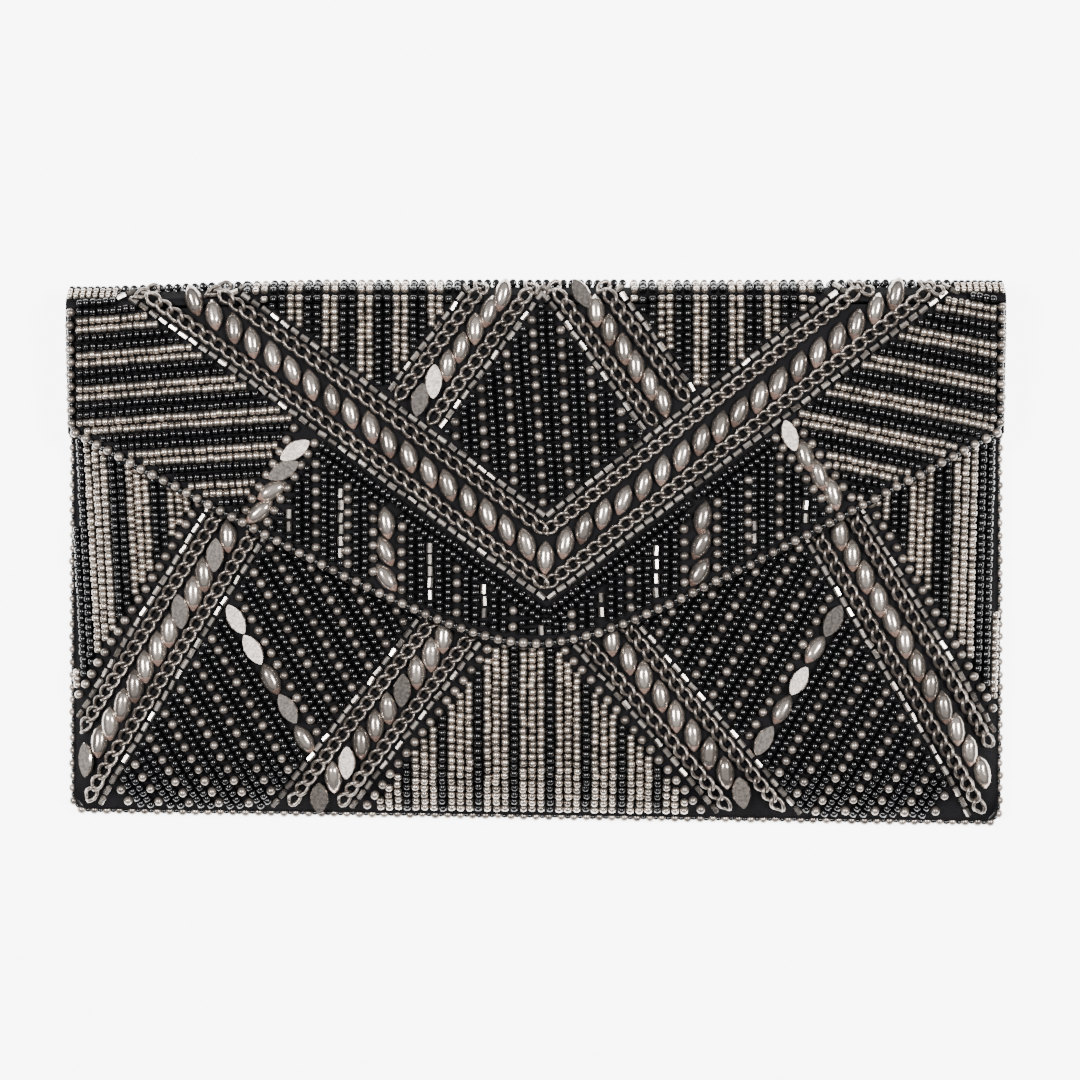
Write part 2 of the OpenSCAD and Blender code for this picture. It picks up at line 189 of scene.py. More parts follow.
class ClutchColours(PropertyGroup):
    jet: tint("Jet", "Black glass of the dark seed beads", "#0A0A0B")
    silver: tint("Silver", "Galvanised glass of the pale seed beads", "#C6BAAF")
    pewter: tint("Pewter", "Plating of the round beads", "#9A8F86")
    bugle: tint("Bugle", "Silver-lined tube beads", "#B1A8A0")
    stone: tint("Stone", "Metallised front of the stones", "#B3A89F")
    # the lower tip facet's colour is a painted reflection, a pale copper glint of the surroundings
    stone_tip: tint("Stone tip", "Cut facet at a stone's lower tip", "#B5978A")
    stone_back: tint("Stone back", "Painted flat back of the stones", "#6E6762")
    chain: tint("Chain", "Gunmetal plating of the chains", "#8A817A")
    satin: tint("Satin", "Outer cloth", "#0C0B0D")
    lining: tint("Lining", "Inner cloth", "#1B191C")
    felt: tint("Felt", "Stiffening between the cloths", "#8A857C")
    nickel: tint("Nickel", "Plating of the snap", "#8E8883")


def size(name):
    """A size from the panel, in millimetres."""
    return getattr(bpy.context.scene.clutch_sizes, name) / MM


def colour(name, gain=1.0):
    """A colour from the panel, made lighter or darker."""
    return tuple(min(c * gain, 1.0) for c in getattr(bpy.context.scene.clutch_colours, name)) + (1,)


# ---- materials ----

def add_node(tree, kind, values=None, links=None, **settings):
    """Adds a node, sets its properties and sockets, and links sources to its sockets."""
    node = tree.nodes.new("ShaderNode" + kind)
    for key, value in settings.items():
        setattr(node, key, value)
    for key, value in (values or {}).items():
        node.inputs[key].default_value = value
    for key, source in (links or {}).items():
        tree.links.new(source, node.inputs[key])
    return node


def ramp(tree, source, stops):
    """A colour ramp through the stops, each a place and a colour."""
    node = add_node(tree, "ValToRGB", links={"Fac": source})
    elements = node.color_ramp.elements
    while len(elements) < len(stops):
        elements.new(0.5)
    for element, (place, value) in zip(elements, stops):
        element.position = place
        element.color = value
    return node.outputs["Color"]


def grey(value):
    return (value, value, value, 1)


MADE = {}


def material(name, build):
    """The material of that name, made once."""
    if name not in MADE:
        made = bpy.data.materials.new(name)
        made.use_nodes = True
        tree = made.node_tree
        tree.nodes.clear()
        out = add_node(tree, "OutputMaterial")
        shader = add_node(tree, "BsdfPrincipled")
        tree.links.new(shader.outputs["BSDF"], out.inputs["Surface"])
        build(tree, shader)
        MADE[name] = made
    return MADE[name]


def object_coords(tree):
    return add_node(tree, "TexCoord").outputs["Object"]


def noise(tree, coords, millimetres, detail=2.0):
    """Noise whose blotches are that many millimetres across."""
    return add_node(
        tree, "TexNoise", {"Scale": 1 / (millimetres * MM), "Detail": detail}, {"Vector": coords}
    ).outputs["Fac"]


def beads_finish(tree, shader, name, spread, metallic, roughness, wear):
    """Glass or plated beads: each has its own tone, and the plating is a little worn in spots."""
    tone = add_node(tree, "Attribute", attribute_name="tone").outputs["Fac"]
    low, high = spread
    base = ramp(tree, tone, [
        (0.0, colour(name, low)), (0.55, colour(name, 1.0)), (1.0, colour(name, high)),
    ])
    coords = object_coords(tree)
    spots = noise(tree, coords, 0.9, 3.0)
    rough = add_node(tree, "MapRange", {
        "From Min": 0.35, "From Max": 0.75, "To Min": roughness, "To Max": roughness + wear,
    }, {"Value": spots})
    tree.links.new(base, shader.inputs["Base Color"])
    tree.links.new(rough.outputs["Result"], shader.inputs["Roughness"])
    shader.inputs["Metallic"].default_value = metallic


def jet_glass(tree, shader):
    """Pressed jet glass: black all through, polished, so it shows only sharp lights."""
    beads_finish(tree, shader, "jet", (0.6, 1.6), 0.0, 0.04, 0.06)
    shader.inputs["IOR"].default_value = 1.62


def galvanised_glass(tree, shader):
    """Glass seeds with a fused pale metal skin: satin shine with a warm cast."""
    beads_finish(tree, shader, "silver", (0.5, 1.15), 0.92, 0.2, 0.16)


def plated_bead(tree, shader):
    """Acrylic pearls plated like pewter: a soft grey shine."""
    beads_finish(tree, shader, "pewter", (0.5, 1.2), 0.8, 0.28, 0.12)
    shader.inputs["Coat Weight"].default_value = 0.5
    shader.inputs["Coat Roughness"].default_value = 0.04


def lined_bugle(tree, shader):
    """Tube beads with a silver lining: bright flats with clear glass over them."""
    beads_finish(tree, shader, "bugle", (0.35, 1.3), 0.85, 0.2, 0.14)
    shader.inputs["Coat Weight"].default_value = 0.5
    shader.inputs["Coat Roughness"].default_value = 0.03


def metallised_stone(tree, shader):
    """Moulded acrylic with a vacuum-metal skin under clear lacquer: mirror facets, warm grey."""
    beads_finish(tree, shader, "stone", (0.6, 1.3), 0.85, 0.14, 0.12)
    shader.inputs["Coat Weight"].default_value = 0.6
    shader.inputs["Coat Roughness"].default_value = 0.02
    shader.inputs["Coat IOR"].default_value = 1.49


def warm_tip(tree, shader):
    """The cut facet at a stone's lower tip: the same skin, its pale copper colour a painted
    reflection of the surroundings.
    """
    beads_finish(tree, shader, "stone_tip", (0.5, 1.25), 0.6, 0.22, 0.12)
    shader.inputs["Coat Weight"].default_value = 0.5
    shader.inputs["Coat Roughness"].default_value = 0.03


def painted_back(tree, shader):
    """The flat back of a stone, sprayed with metal paint: fine speckle, and the backs given tone 1
    get a near-white painted reflection of the lights in their colour.
    """
    coords = object_coords(tree)
    speckle = noise(tree, coords, 0.7, 5.0)
    fleck = ramp(tree, speckle, [(0.3, grey(0.35)), (0.5, grey(0.7)), (0.65, grey(1.0))])
    tone = add_node(tree, "Attribute", attribute_name="tone").outputs["Fac"]
    # tones up to 0.8 vary at random; tone 1 is a painted reflection of the lights, making that back
    # near white
    paint = ramp(tree, tone, [
        (0.0, colour("stone_back", 0.6)), (0.8, colour("stone_back", 1.2)),
        (1.0, colour("stone_back", 6.0)),
    ])
    # sockets 6 and 7 are the two colours, 0 how much, and output 2 the colour
    base = add_node(tree, "Mix", {0: 1.0}, {6: paint, 7: fleck}, data_type="RGBA",
                    blend_type="MULTIPLY")
    bump = add_node(tree, "Bump", {"Strength": 0.35, "Distance": 0.05 * MM}, {"Height": speckle})
    tree.links.new(base.outputs[2], shader.inputs["Base Color"])
    tree.links.new(bump.outputs["Normal"], shader.inputs["Normal"])
    shader.inputs["Metallic"].default_value = 0.2
    shader.inputs["Roughness"].default_value = 0.5
    shader.inputs["Specular IOR Level"].default_value = 0.15


def gunmetal(tree, shader):
    """Plated iron wire: each link has its own tone, and the shine varies in spots."""
    beads_finish(tree, shader, "chain", (0.7, 1.25), 0.92, 0.26, 0.16)


def cloth(tree, shader, name, thread, sheen, roughness, depth):
    """Woven cloth: two crossed sets of threads, with slow changes in tone."""
    coords = object_coords(tree)
    waves = [
        add_node(tree, "TexWave", {"Scale": 0.5 / (thread * MM) / 3.1416, "Distortion": 0.4},
                 {"Vector": coords}, bands_direction=axis).outputs["Fac"]
        for axis in ("X", "Y")
    ]
    weave = add_node(tree, "Math", operation="MULTIPLY")
    tree.links.new(waves[0], weave.inputs[0])
    tree.links.new(waves[1], weave.inputs[1])
    slow = noise(tree, coords, 9.0, 3.0)
    base = ramp(tree, slow, [(0.3, colour(name, 0.75)), (0.7, colour(name, 1.35))])
    bump = add_node(tree, "Bump", {"Strength": 0.5, "Distance": depth * MM},
                    {"Height": weave.outputs[0]})
    tree.links.new(base, shader.inputs["Base Color"])
    tree.links.new(bump.outputs["Normal"], shader.inputs["Normal"])
    shader.inputs["Roughness"].default_value = roughness
    shader.inputs["Specular IOR Level"].default_value = 0.06
    shader.inputs["Sheen Weight"].default_value = sheen
    shader.inputs["Sheen Roughness"].default_value = 0.4


def black_satin(tree, shader):
    """Polyester satin: floats of smooth thread give a soft shine."""
    cloth(tree, shader, "satin", 0.35, 0.01, 0.6, 0.05)


def black_lining(tree, shader):
    """Plain polyester lining: duller than satin, with a visible weave."""
    cloth(tree, shader, "lining", 0.45, 0.03, 0.7, 0.06)


def grey_felt(tree, shader):
    """Needled felt: matted fibres with no shine."""
    coords = object_coords(tree)
    fibres = noise(tree, coords, 0.6, 6.0)
    base = ramp(tree, fibres, [(0.3, colour("felt", 0.6)), (0.7, colour("felt", 1.2))])
    bump = add_node(tree, "Bump", {"Strength": 0.7, "Distance": 0.15 * MM}, {"Height": fibres})
    tree.links.new(base, shader.inputs["Base Color"])
    tree.links.new(bump.outputs["Normal"], shader.inputs["Normal"])
    shader.inputs["Roughness"].default_value = 0.95
    shader.inputs["Sheen Weight"].default_value = 0.4


def hardware(tree, shader, name, gain, metallic, roughness, grain):
    """Turned or pressed metal: a fine grain in its shine and slight stains."""
    coords = object_coords(tree)
    stains = noise(tree, coords, 2.5, 4.0)
    scratches = noise(tree, coords, grain, 3.0)
    base = ramp(tree, stains, [(0.3, colour(name, gain * 0.8)), (0.7, colour(name, gain))])
    rough = add_node(tree, "MapRange", {"To Min": roughness * 0.7, "To Max": roughness * 1.4},
                     {"Value": scratches})
    tree.links.new(base, shader.inputs["Base Color"])
    tree.links.new(rough.outputs["Result"], shader.inputs["Roughness"])
    shader.inputs["Metallic"].default_value = metallic


def nickel(tree, shader):
    """Nickel-plated brass snap."""
    hardware(tree, shader, "nickel", 1.0, 1.0, 0.22, 0.3)


def steel_plate(tree, shader):
    """Tinned steel backing plate."""
    hardware(tree, shader, "nickel", 1.2, 1.0, 0.35, 0.5)


def ferrite(tree, shader):
    """Sintered ferrite magnet: dull dark grey."""
    hardware(tree, shader, "nickel", 0.25, 0.0, 0.6, 0.4)


def floor_paper(tree, shader):
    """Plain pale studio floor, lit from below like a light table."""
    shader.inputs["Base Color"].default_value = (0.92, 0.92, 0.92, 1)
    shader.inputs["Emission Color"].default_value = (1, 1, 1, 1)
    shader.inputs["Emission Strength"].default_value = 6.0
    shader.inputs["Roughness"].default_value = 0.9
    shader.inputs["Specular IOR Level"].default_value = 0.1


# ---- meshes ----

def share(value, stretch):
    """How far along a stretch a value is, from 0 at its start to 1 at its end."""
    start, end = stretch
    return (value - start) / (end - start)


def ease(t):
    """Turns a steady rise from 0 to 1 into one that starts and stops gently."""
    t = np.clip(t, 0, 1)
    return t * t * (3 - 2 * t)


def sag(co):
    """Lets the fold's left corner sink: places in millimetres, changed in place."""
    co[:, 1] -= SAG * ease(share(co[:, 0], SAG_X)) * ease(share(co[:, 1], SAG_Y))
    return co


def deselect():
    if bpy.context.object and bpy.context.object.mode != "OBJECT":
        bpy.ops.object.mode_set(mode="OBJECT")
    bpy.ops.object.select_all(action="DESELECT")


def points(obj):
    co = np.empty(len(obj.data.vertices) * 3)
    obj.data.vertices.foreach_get("co", co)
    return co.reshape(-1, 3)


def set_points(obj, co):
    obj.data.vertices.foreach_set("co", np.ascontiguousarray(co, np.float32).ravel())
    obj.data.update()


def settle():
    """Puts the active object's place, turn and scale into its mesh."""
    bpy.ops.object.transform_apply(location=True, rotation=True, scale=True)


def put(obj, name, body, slot, materials, *nodes):
    """Names a finished piece, gives it its materials, its body and the CAD nodes it stands for."""
    obj.name = name
    obj.data.name = name
    for build in materials:
        obj.data.materials.append(material(build.__name__, build))
    if nodes:
        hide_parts(*nodes)
    if body:
        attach(obj, body)
    return obj


class Unit:
    """A small shape that is modelled once and copied: arrays of its points and faces."""

    def __init__(self, obj):
        mesh = obj.data
        self.points = points(obj)
        self.corners = np.array([v for p in mesh.polygons for v in p.vertices], np.int32)
        self.counts = np.array([len(p.vertices) for p in mesh.polygons], np.int32)
        self.slots = np.array([p.material_index for p in mesh.polygons], np.int32)
        self.smooth = np.array([p.use_smooth for p in mesh.polygons], bool)
        self.sharp = {tuple(sorted(e.vertices)) for e in mesh.edges if e.use_edge_sharp}
        bpy.data.objects.remove(obj)


def add_ball(segments, rings):
    """A new sphere, with each point's ring, counted from the top, and its angle about Z."""
    deselect()
    bpy.ops.mesh.primitive_uv_sphere_add(segments=segments, ring_count=rings, radius=1.0)
    obj = bpy.context.object
    co = points(obj)
    down = np.degrees(np.arccos(np.clip(co[:, 2], -1, 1)))
    return obj, np.rint(down / (180 / rings)).astype(int), np.arctan2(co[:, 1], co[:, 0])


def face_outwards():
    """Turns the active object's faces outwards."""
    bpy.ops.object.mode_set(mode="EDIT")
    bpy.ops.mesh.select_all(action="SELECT")
    bpy.ops.mesh.normals_make_consistent(inside=False)
    bpy.ops.object.mode_set(mode="OBJECT")


def seed_unit(segments, rings, profile):
    """A seed bead of unit size along X. The profile gives place and radius of each ring."""
    obj, level, around = add_ball(segments, rings)
    place = np.array([p for p, _ in profile])[level]
    radius = np.array([r for _, r in profile])[level]
    set_points(obj, np.column_stack([place, radius * np.cos(around), radius * np.sin(around)]))
    face_outwards()
    bpy.ops.object.shade_smooth()
    return Unit(obj)


def ball_profile(rings, dimple):
    """Ring places and radii of a round bead whose ends dip into its hole."""
    turns = [math.pi * k / rings for k in range(1, rings)]
    ball = [(0.5 * math.cos(turn), 0.5 * math.sin(turn)) for turn in turns]
    return [(0.5 - dimple, 0.0), *ball, (dimple - 0.5, 0.0)]


def bugle_unit():
    """A six-sided tube along X with sunk ends."""
    deselect()
    bpy.ops.mesh.primitive_cylinder_add(
        vertices=6, radius=0.5, depth=1.0, end_fill_type="NGON", rotation=(0, math.pi / 2, 0)
    )
    settle()
    obj = bpy.context.object
    bpy.ops.object.mode_set(mode="EDIT")
    bpy.ops.mesh.select_mode(type="FACE")
    for side in (-1, 1):
        bpy.ops.mesh.select_all(action="DESELECT")
        bpy.ops.object.mode_set(mode="OBJECT")
        for face in obj.data.polygons:
            face.select = face.normal.x * side > 0.9
        bpy.ops.object.mode_set(mode="EDIT")
        bpy.ops.mesh.inset(thickness=0.17)
        bpy.ops.mesh.extrude_region_move(TRANSFORM_OT_translate={"value": (-side * 0.2, 0, 0)})
    bpy.ops.object.mode_set(mode="OBJECT")
    return Unit(obj)


def link_unit():
    """A curb link along X: an oval ring of wire, twisted so that the chain lies flat."""
    pitch, wire = size("link_pitch"), size("wire")
    half_long, half_wide = pitch * 0.68, 1.5
    deselect()
    bpy.ops.mesh.primitive_torus_add(
        major_segments=14, minor_segments=6, major_radius=1.0, minor_radius=0.25
    )
    obj = bpy.context.object
    co = points(obj)
    around = np.arctan2(co[:, 1], co[:, 0])
    tube = np.hypot(co[:, 0], co[:, 1]) - 1.0
    normal = np.column_stack([np.cos(around) * half_wide, np.sin(around) * half_long])
    normal /= np.linalg.norm(normal, axis=1)[:, None]
    thick = wire / 2 / 0.25
    x = half_long * np.cos(around) + normal[:, 0] * tube * thick
    y = half_wide * np.sin(around) + normal[:, 1] * tube * thick
    z = co[:, 2] * thick
    turn = math.radians(50) * x / half_long
    set_points(obj, np.column_stack([
        x, y * np.cos(turn) - z * np.sin(turn), y * np.sin(turn) + z * np.cos(turn)
    ]))
    bpy.ops.object.shade_smooth()
    return Unit(obj)


def stone_unit():
    """A marquise along X: a dome with straight-sided shine, cut off by a facet at each tip, over
    a thin girdle and a flat back."""
    long, wide, tall = size("stone_length"), size("stone_width"), size("stone_height")
    dome = 0.62                   # the tip facets start this far out
    half_stations = np.array([1.0, 0.955, 0.86, 0.74, dome, 0.25])
    stations = np.concatenate([half_stations, -half_stations[::-1]])
    obj, level, around = add_ball(12, len(stations) - 1)
    t = stations[level]
    out = np.abs(t)
    pole = out > 0.999
    half = np.where(pole, 0.0, wide / 2 * (1 - out ** 2) ** 0.82)
    crown = np.where(out < dome + 0.01, 1 - 0.06 * (t / dome) ** 2,
                     0.94 - 0.64 * (out - dome) / (1 - dome))
    girdle = 0.18 * tall
    top = np.sin(around) >= -1e-6
    y = half * np.cos(around)
    z = np.where(top, girdle + (crown * tall - girdle) * np.abs(np.sin(around)) ** 0.9, 0.0)
    z = np.where(pole, girdle * 0.6, z)
    set_points(obj, np.column_stack([t * long / 2, y, z]))
    face_outwards()
    for face in obj.data.polygons:
        if face.normal.z < -0.9:
            face.material_index = 1
        # only the lower tip's facet gets the painted reflection material
        elif face.center.x < -(dome + 0.02) * long / 2 and face.normal.z > 0.3:
            face.material_index = 2
    bpy.ops.object.shade_smooth_by_angle(angle=math.radians(40))
    return Unit(obj)


# place and radius of each ring, from one end of the hole to the other
SEED_PROFILE = (
    (0.34, 0.0), (0.5, 0.31), (0.3, 0.5), (-0.3, 0.5), (-0.5, 0.31), (-0.34, 0.0),
)
SMALL_PROFILE = ((0.36, 0.0), (0.5, 0.36), (0.0, 0.52), (-0.5, 0.36), (-0.36, 0.0))
MAKERS = {
    "seed": lambda: seed_unit(8, 5, SEED_PROFILE),
    "small_seed": lambda: seed_unit(6, 4, SMALL_PROFILE),
    "round": lambda: seed_unit(10, 7, ball_profile(7, 0.08)),
    "bugle": bugle_unit,
    "link": link_unit,
    "stone": stone_unit,
}
UNITS = {}


def unit(kind):
    """The unit shape of that kind, modelled when first asked for."""
    if kind not in UNITS:
        UNITS[kind] = MAKERS[kind]()
    return UNITS[kind]


def strew(name, body, slot, materials, batches, *nodes):
    """One piece made of many copies. A batch is a unit, places, axes, scales, tones and the
    first of its materials."""
    total_points, corners, counts, slots, rounded, tones, sharp = ([] for _ in range(7))
    first = 0
    for shape, places, axes, scales, tone, slot_at in batches:
        n = len(places)
        if n == 0:
            continue
        local = shape.points[None, :, :] * scales[:, None, :]
        world = np.einsum("nij,nkj->nki", axes, local) + places[:, None, :]
        total_points.append(world.reshape(-1, 3))
        stride = len(shape.points)
        shift = first + np.arange(n, dtype=np.int32)[:, None] * stride
        corners.append((shape.corners[None, :] + shift).ravel())
        counts.append(np.tile(shape.counts, n))
        slots.append(np.tile(shape.slots + slot_at, n))
        rounded.append(np.tile(shape.smooth, n))
        tones.append(np.repeat(tone, stride))
        if shape.sharp:
            pairs = np.array(sorted(shape.sharp), np.int64)
            sharp.append((pairs[None, :, :] + shift[:, :, None]).reshape(-1, 2))
        first += n * stride
    co = sag(np.concatenate(total_points)) * MM
    corners, counts = np.concatenate(corners), np.concatenate(counts)
    mesh = bpy.data.meshes.new(name)
    mesh.vertices.add(len(co))
    mesh.vertices.foreach_set("co", co.astype(np.float32).ravel())
    mesh.loops.add(len(corners))
    mesh.loops.foreach_set("vertex_index", corners)
    mesh.polygons.add(len(counts))
    starts = np.concatenate([[0], np.cumsum(counts)[:-1]]).astype(np.int32)
    mesh.polygons.foreach_set("loop_start", starts)
    mesh.polygons.foreach_set("material_index", np.concatenate(slots).astype(np.int32))
    mesh.polygons.foreach_set("use_smooth", np.concatenate(rounded))
    mesh.update(calc_edges=True)
    if sharp:
        wanted = np.concatenate(sharp)
        keys = wanted[:, 0] * len(co) + wanted[:, 1]
        ends = np.empty(len(mesh.edges) * 2, np.int32)
        mesh.edges.foreach_get("vertices", ends)
        ends = np.sort(ends.reshape(-1, 2).astype(np.int64), axis=1)
        mesh.edges.foreach_set("use_edge_sharp", np.isin(ends[:, 0] * len(co) + ends[:, 1], keys))
    attribute = mesh.attributes.new("tone", "FLOAT", "POINT")
    attribute.data.foreach_set("value", np.concatenate(tones).astype(np.float32))
    obj = bpy.data.objects.new(name, mesh)
    bpy.context.scene.collection.objects.link(obj)
    return put(obj, name, body, slot, materials, *nodes)


# ---- where the cloth lies ----

def bottom_at(x):
    """The bottom edge's Y."""
    return BOTTOM + SKEW * (0.5 - x / (2 * SIDE))


def flap_edge(x):
    """The flap's free edge: straight arms that meet in a rounded tip."""
    return TIP + EDGE_RISE * (np.sqrt(x * x + EDGE_ROUND ** 2) - EDGE_ROUND)


def front_height(x, y):
    """The front's outer cloth: a flat middle that rolls down to the seam like a pillow."""
    side, low = (
        ROOM * np.clip(1 - inset / ROLL, 0, 1.1) ** ROLL_POWER
        for inset in (SIDE - INSET - np.abs(x), y - bottom_at(x) - INSET)
    )
    fall = (side ** 4 + low ** 4) ** 0.25
    return FRONT_Z - np.minimum(fall, ROOM)


def flap_height(x, y):
    """The flap's outer cloth: flat, with its two outer corners sinking a little."""
    side = np.clip(share(np.abs(x), DROOP_X), 0, 1.05)
    return FLAP_Z - DROOP * side ** 2 * ease(share(y, DROOP_Y))


def unit_rows(v):
    return v / np.linalg.norm(v, axis=1)[:, None]


def on_cloth(height, x, y, heading, lift):
    """Places a lift above the cloth, and their axes: along the thread, across it, and out."""
    step = 0.05
    slope_x = (height(x + step, y) - height(x - step, y)) / (2 * step)
    slope_y = (height(x, y + step) - height(x, y - step)) / (2 * step)
    out = unit_rows(np.column_stack([-slope_x, -slope_y, np.ones_like(x)]))
    c, s = np.cos(heading), np.sin(heading)
    along = unit_rows(np.column_stack([c, s, slope_x * c + slope_y * s]))
    across = np.cross(out, along)
    places = np.column_stack([x, y, height(x, y)]) + out * np.reshape(lift, (-1, 1))
    return places, np.stack([along, across, out], axis=2)


def on_back(x, y, heading, lift):
    """Places and axes under the back."""
    c, s = np.cos(heading), np.sin(heading)
    flat = np.zeros_like(x)
    along = np.column_stack([c, s, flat])
    out = np.column_stack([flat, flat, flat - 1])
    places = np.column_stack([x, y, flat + BACK_Z - lift])
    return places, np.stack([along, np.cross(out, along), out], axis=2)


def on_strip(i, x, v, heading, lift):
    """Places and axes on strip i of the fold, v millimetres up from its lower crease."""
    start, end = CREASES[i], CREASES[i + 1]
    up = (end - start) / np.linalg.norm(end - start)
    flat = np.zeros_like(x)
    rise = np.column_stack([flat, flat + up[0], flat + up[1]])
    out = np.column_stack([flat, flat + up[1], flat - up[0]])
    sideways = np.column_stack([flat + 1, flat, flat])
    along = sideways * np.cos(heading)[:, None] + rise * np.sin(heading)[:, None]
    base = np.column_stack([x, flat + start[0], flat + start[1]])
    places = base + rise * v[:, None] + out * np.reshape(lift, (-1, 1))
    return places, np.stack([along, np.cross(out, along), out], axis=2)


# ---- signed distances that bound the fields ----

def off_bar(bar, x, y):
    """Distance to the left of a bar, seen from its top end down."""
    x0, y0, x1, y1 = bar[:4]
    run = math.hypot(x1 - x0, y1 - y0)
    c, s = (x1 - x0) / run, (y1 - y0) / run
    return -(x - x0) * s + (y - y0) * c


def along_bar(bar, x, y):
    x0, y0, x1, y1 = bar[:4]
    run = math.hypot(x1 - x0, y1 - y0)
    return ((x - x0) * (x1 - x0) + (y - y0) * (y1 - y0)) / run


def v_arms(x, y):
    """Distances above the V's left and right arms."""
    dx, dy = x - V_APEX[0], y - V_APEX[1]
    left = dx * math.sin(V_LEFT) + dy * math.cos(V_LEFT)
    right = -dx * math.sin(V_RIGHT) + dy * math.cos(V_RIGHT)
    return left, right


def over_v(x, y):
    return np.minimum(*v_arms(x, y))


def over_edge(x, y):
    """Distance in from the flap's free edge."""
    return np.minimum((y - flap_edge(x)) * 0.89, FLAP_SIDE - np.abs(x))


def in_seam(x, y):
    """Distance in from the seam round the pocket."""
    return np.minimum(SIDE - np.abs(x), y - bottom_at(x))


def off_bed(row, x, y, margin=1.2):
    """Above zero outside the clear bed round a short row of stones."""
    run = math.hypot(row[2] - row[0], row[3] - row[1])
    t = along_bar(row, x, y)
    past = np.maximum(-t, t - run) - size("stone_length") / 2 - 0.6
    return np.maximum(past, np.abs(off_bar(row, x, y)) - size("stone_width") / 2 - margin + 0.15)


# ---- rows of beads ----

# distance from one piece to the next along its thread: black and silver seed beads, round beads,
# bugles (g) and chain links
PITCH = {"b": 1.86, "s": 1.74, "r": 3.42, "g": 3.3, "c": 3.55}
SEAM_PITCH, EDGE_PITCH = 3.45, 3.42
ROW = 2.345                       # from row to row in the front's two slanted fields


def row_places(x0, y0, heading, inside, pitch, slack=0.25):
    """Bead places along a straight row, spread evenly over each stretch that is inside."""
    step = 0.1
    s = np.arange(-270, 270, step)
    x, y = x0 + s * math.cos(heading), y0 + s * math.sin(heading)
    keep = np.concatenate([[False], inside(x, y), [False]])
    turns = np.flatnonzero(keep[1:] != keep[:-1])
    out = []
    for a, b in zip(turns[::2], turns[1::2]):
        run = (b - a) * step
        n = int(run / pitch + slack)
        if n:
            mid = s[a] + (np.arange(n) + 0.5) * run / n
            out.append(np.column_stack([
                x0 + mid * math.cos(heading), y0 + mid * math.sin(heading)
            ]))
    return np.concatenate(out) if out else np.empty((0, 2))


def stripes(x, y, degrees, pitch, pattern, low, high, fan=0.0):
    """Parallel rows: each as a point, a heading and a kind. Rows step to the right of the
    heading, and fan turns each one a little more."""
    out = []
    turn = math.radians(degrees)
    for k in range(low, high):
        px = x + k * pitch * math.sin(turn)
        py = y - k * pitch * math.cos(turn)
        out.append((px, py, turn + math.radians(fan * k), pattern[k % len(pattern)]))
    return out


def gather(rows, inside):
    """All bead places of some rows, by kind, as x, y and heading."""
    found = {}
    for x, y, heading, kind, *own in rows:
        keep = own[0] if own else inside
        spots = row_places(x, y, heading, keep, PITCH[kind])
        turned = np.column_stack([spots, np.full(len(spots), heading)])
        found.setdefault(kind, []).append(turned)
    return {kind: np.concatenate(parts) for kind, parts in found.items()}


SHAPES = {
    # kind: unit, and sizes along, across and up. e are edge beads, and t the spacers between them
    "b": ("seed", ("seed_length", "seed_width", "seed_width")),
    "s": ("seed", ("seed_length", "seed_width", "seed_width")),
    "r": ("round", ("round_width",) * 3),
    "e": ("round", ("edge_width",) * 3),
    "t": ("small_seed", ("bugle_width",) * 3),
    "g": ("bugle", ("bugle_length", "bugle_width", "bugle_width")),
}


def batch(kind, spots, lay, seed, slot_at=0, lift=None, jitter=1.0):
    """A batch of beads of one kind at x, y, heading spots, each a little out of line."""
    rng = np.random.default_rng(seed)
    n = len(spots)
    shape, names = SHAPES[kind]
    dims = np.array([size(k) for k in names])
    x, y, heading = spots.T
    x = x + rng.normal(0, 0.07 * jitter, n)
    y = y + rng.normal(0, 0.07 * jitter, n)
    heading = heading + rng.normal(0, 0.06 * jitter, n)
    if kind in "re":
        heading = heading + rng.uniform(-0.4, 0.4, n)
    up = (dims[2] / 2 if lift is None else lift) + rng.normal(0, 0.05 * jitter, n)
    places, axes = lay(x, y, heading, up)
    roll = rng.uniform(0, math.pi, n) if kind != "g" else rng.normal(0, 0.25, n)
    tilt = rng.normal(0, 0.07 * jitter, n)
    c, s, ct, st = np.cos(roll), np.sin(roll), np.cos(tilt), np.sin(tilt)
    zero, one = np.zeros(n), np.ones(n)
    spin = np.stack([one, zero, zero, zero, c, -s, zero, s, c], axis=1).reshape(-1, 3, 3)
    dip = np.stack([ct, zero, -st, zero, one, zero, st, zero, ct], axis=1).reshape(-1, 3, 3)
    axes = axes @ dip @ spin
    scales = dims[None, :] * (1 + rng.normal(0, 0.035, (n, 3)).clip(-0.08, 0.08))
    return unit(shape), places, axes, scales, rng.uniform(0, 1, n), slot_at


def lay_on(height):
    """Lays beads on the cloth of that height."""
    return lambda x, y, heading, lift: on_cloth(height, x, y, heading, lift)


def strew_seeds(name, body, batches, *nodes):
    strew(name, body, "seed_beads", [jet_glass, galvanised_glass], batches, *nodes)


def strew_rounds(name, body, made, *nodes):
    strew(name, body, "edge_beads", [plated_bead], [made], *nodes)


def field(name, body, rows, inside, height, node):
    """A field of beadwork: its seed beads are one piece and its round beads another."""
    found = gather(rows, inside)
    lay = lay_on(height)
    strew_seeds(name + "_seed_beads", body, [
        batch(kind, found[kind], lay, [len(name), at, 11], at)
        for at, kind in enumerate("bs") if kind in found
    ], node)
    if "r" in found:
        strew_rounds(name + "_round_beads", body, batch("r", found["r"], lay, [len(name), 5]))


def everywhere(x, y):
    """A bound that leaves nothing out."""
    return np.full(np.shape(x), True)


def panel_inside(extra):
    """On the front, clear of its seam and of what the flap hides."""
    def test(x, y):
        seen = (in_seam(x, y) > PANEL_MARGIN) & (y < flap_edge(x) + UNDER_FLAP)
        return seen & (y < MOUTH) & extra(x, y)
    return test


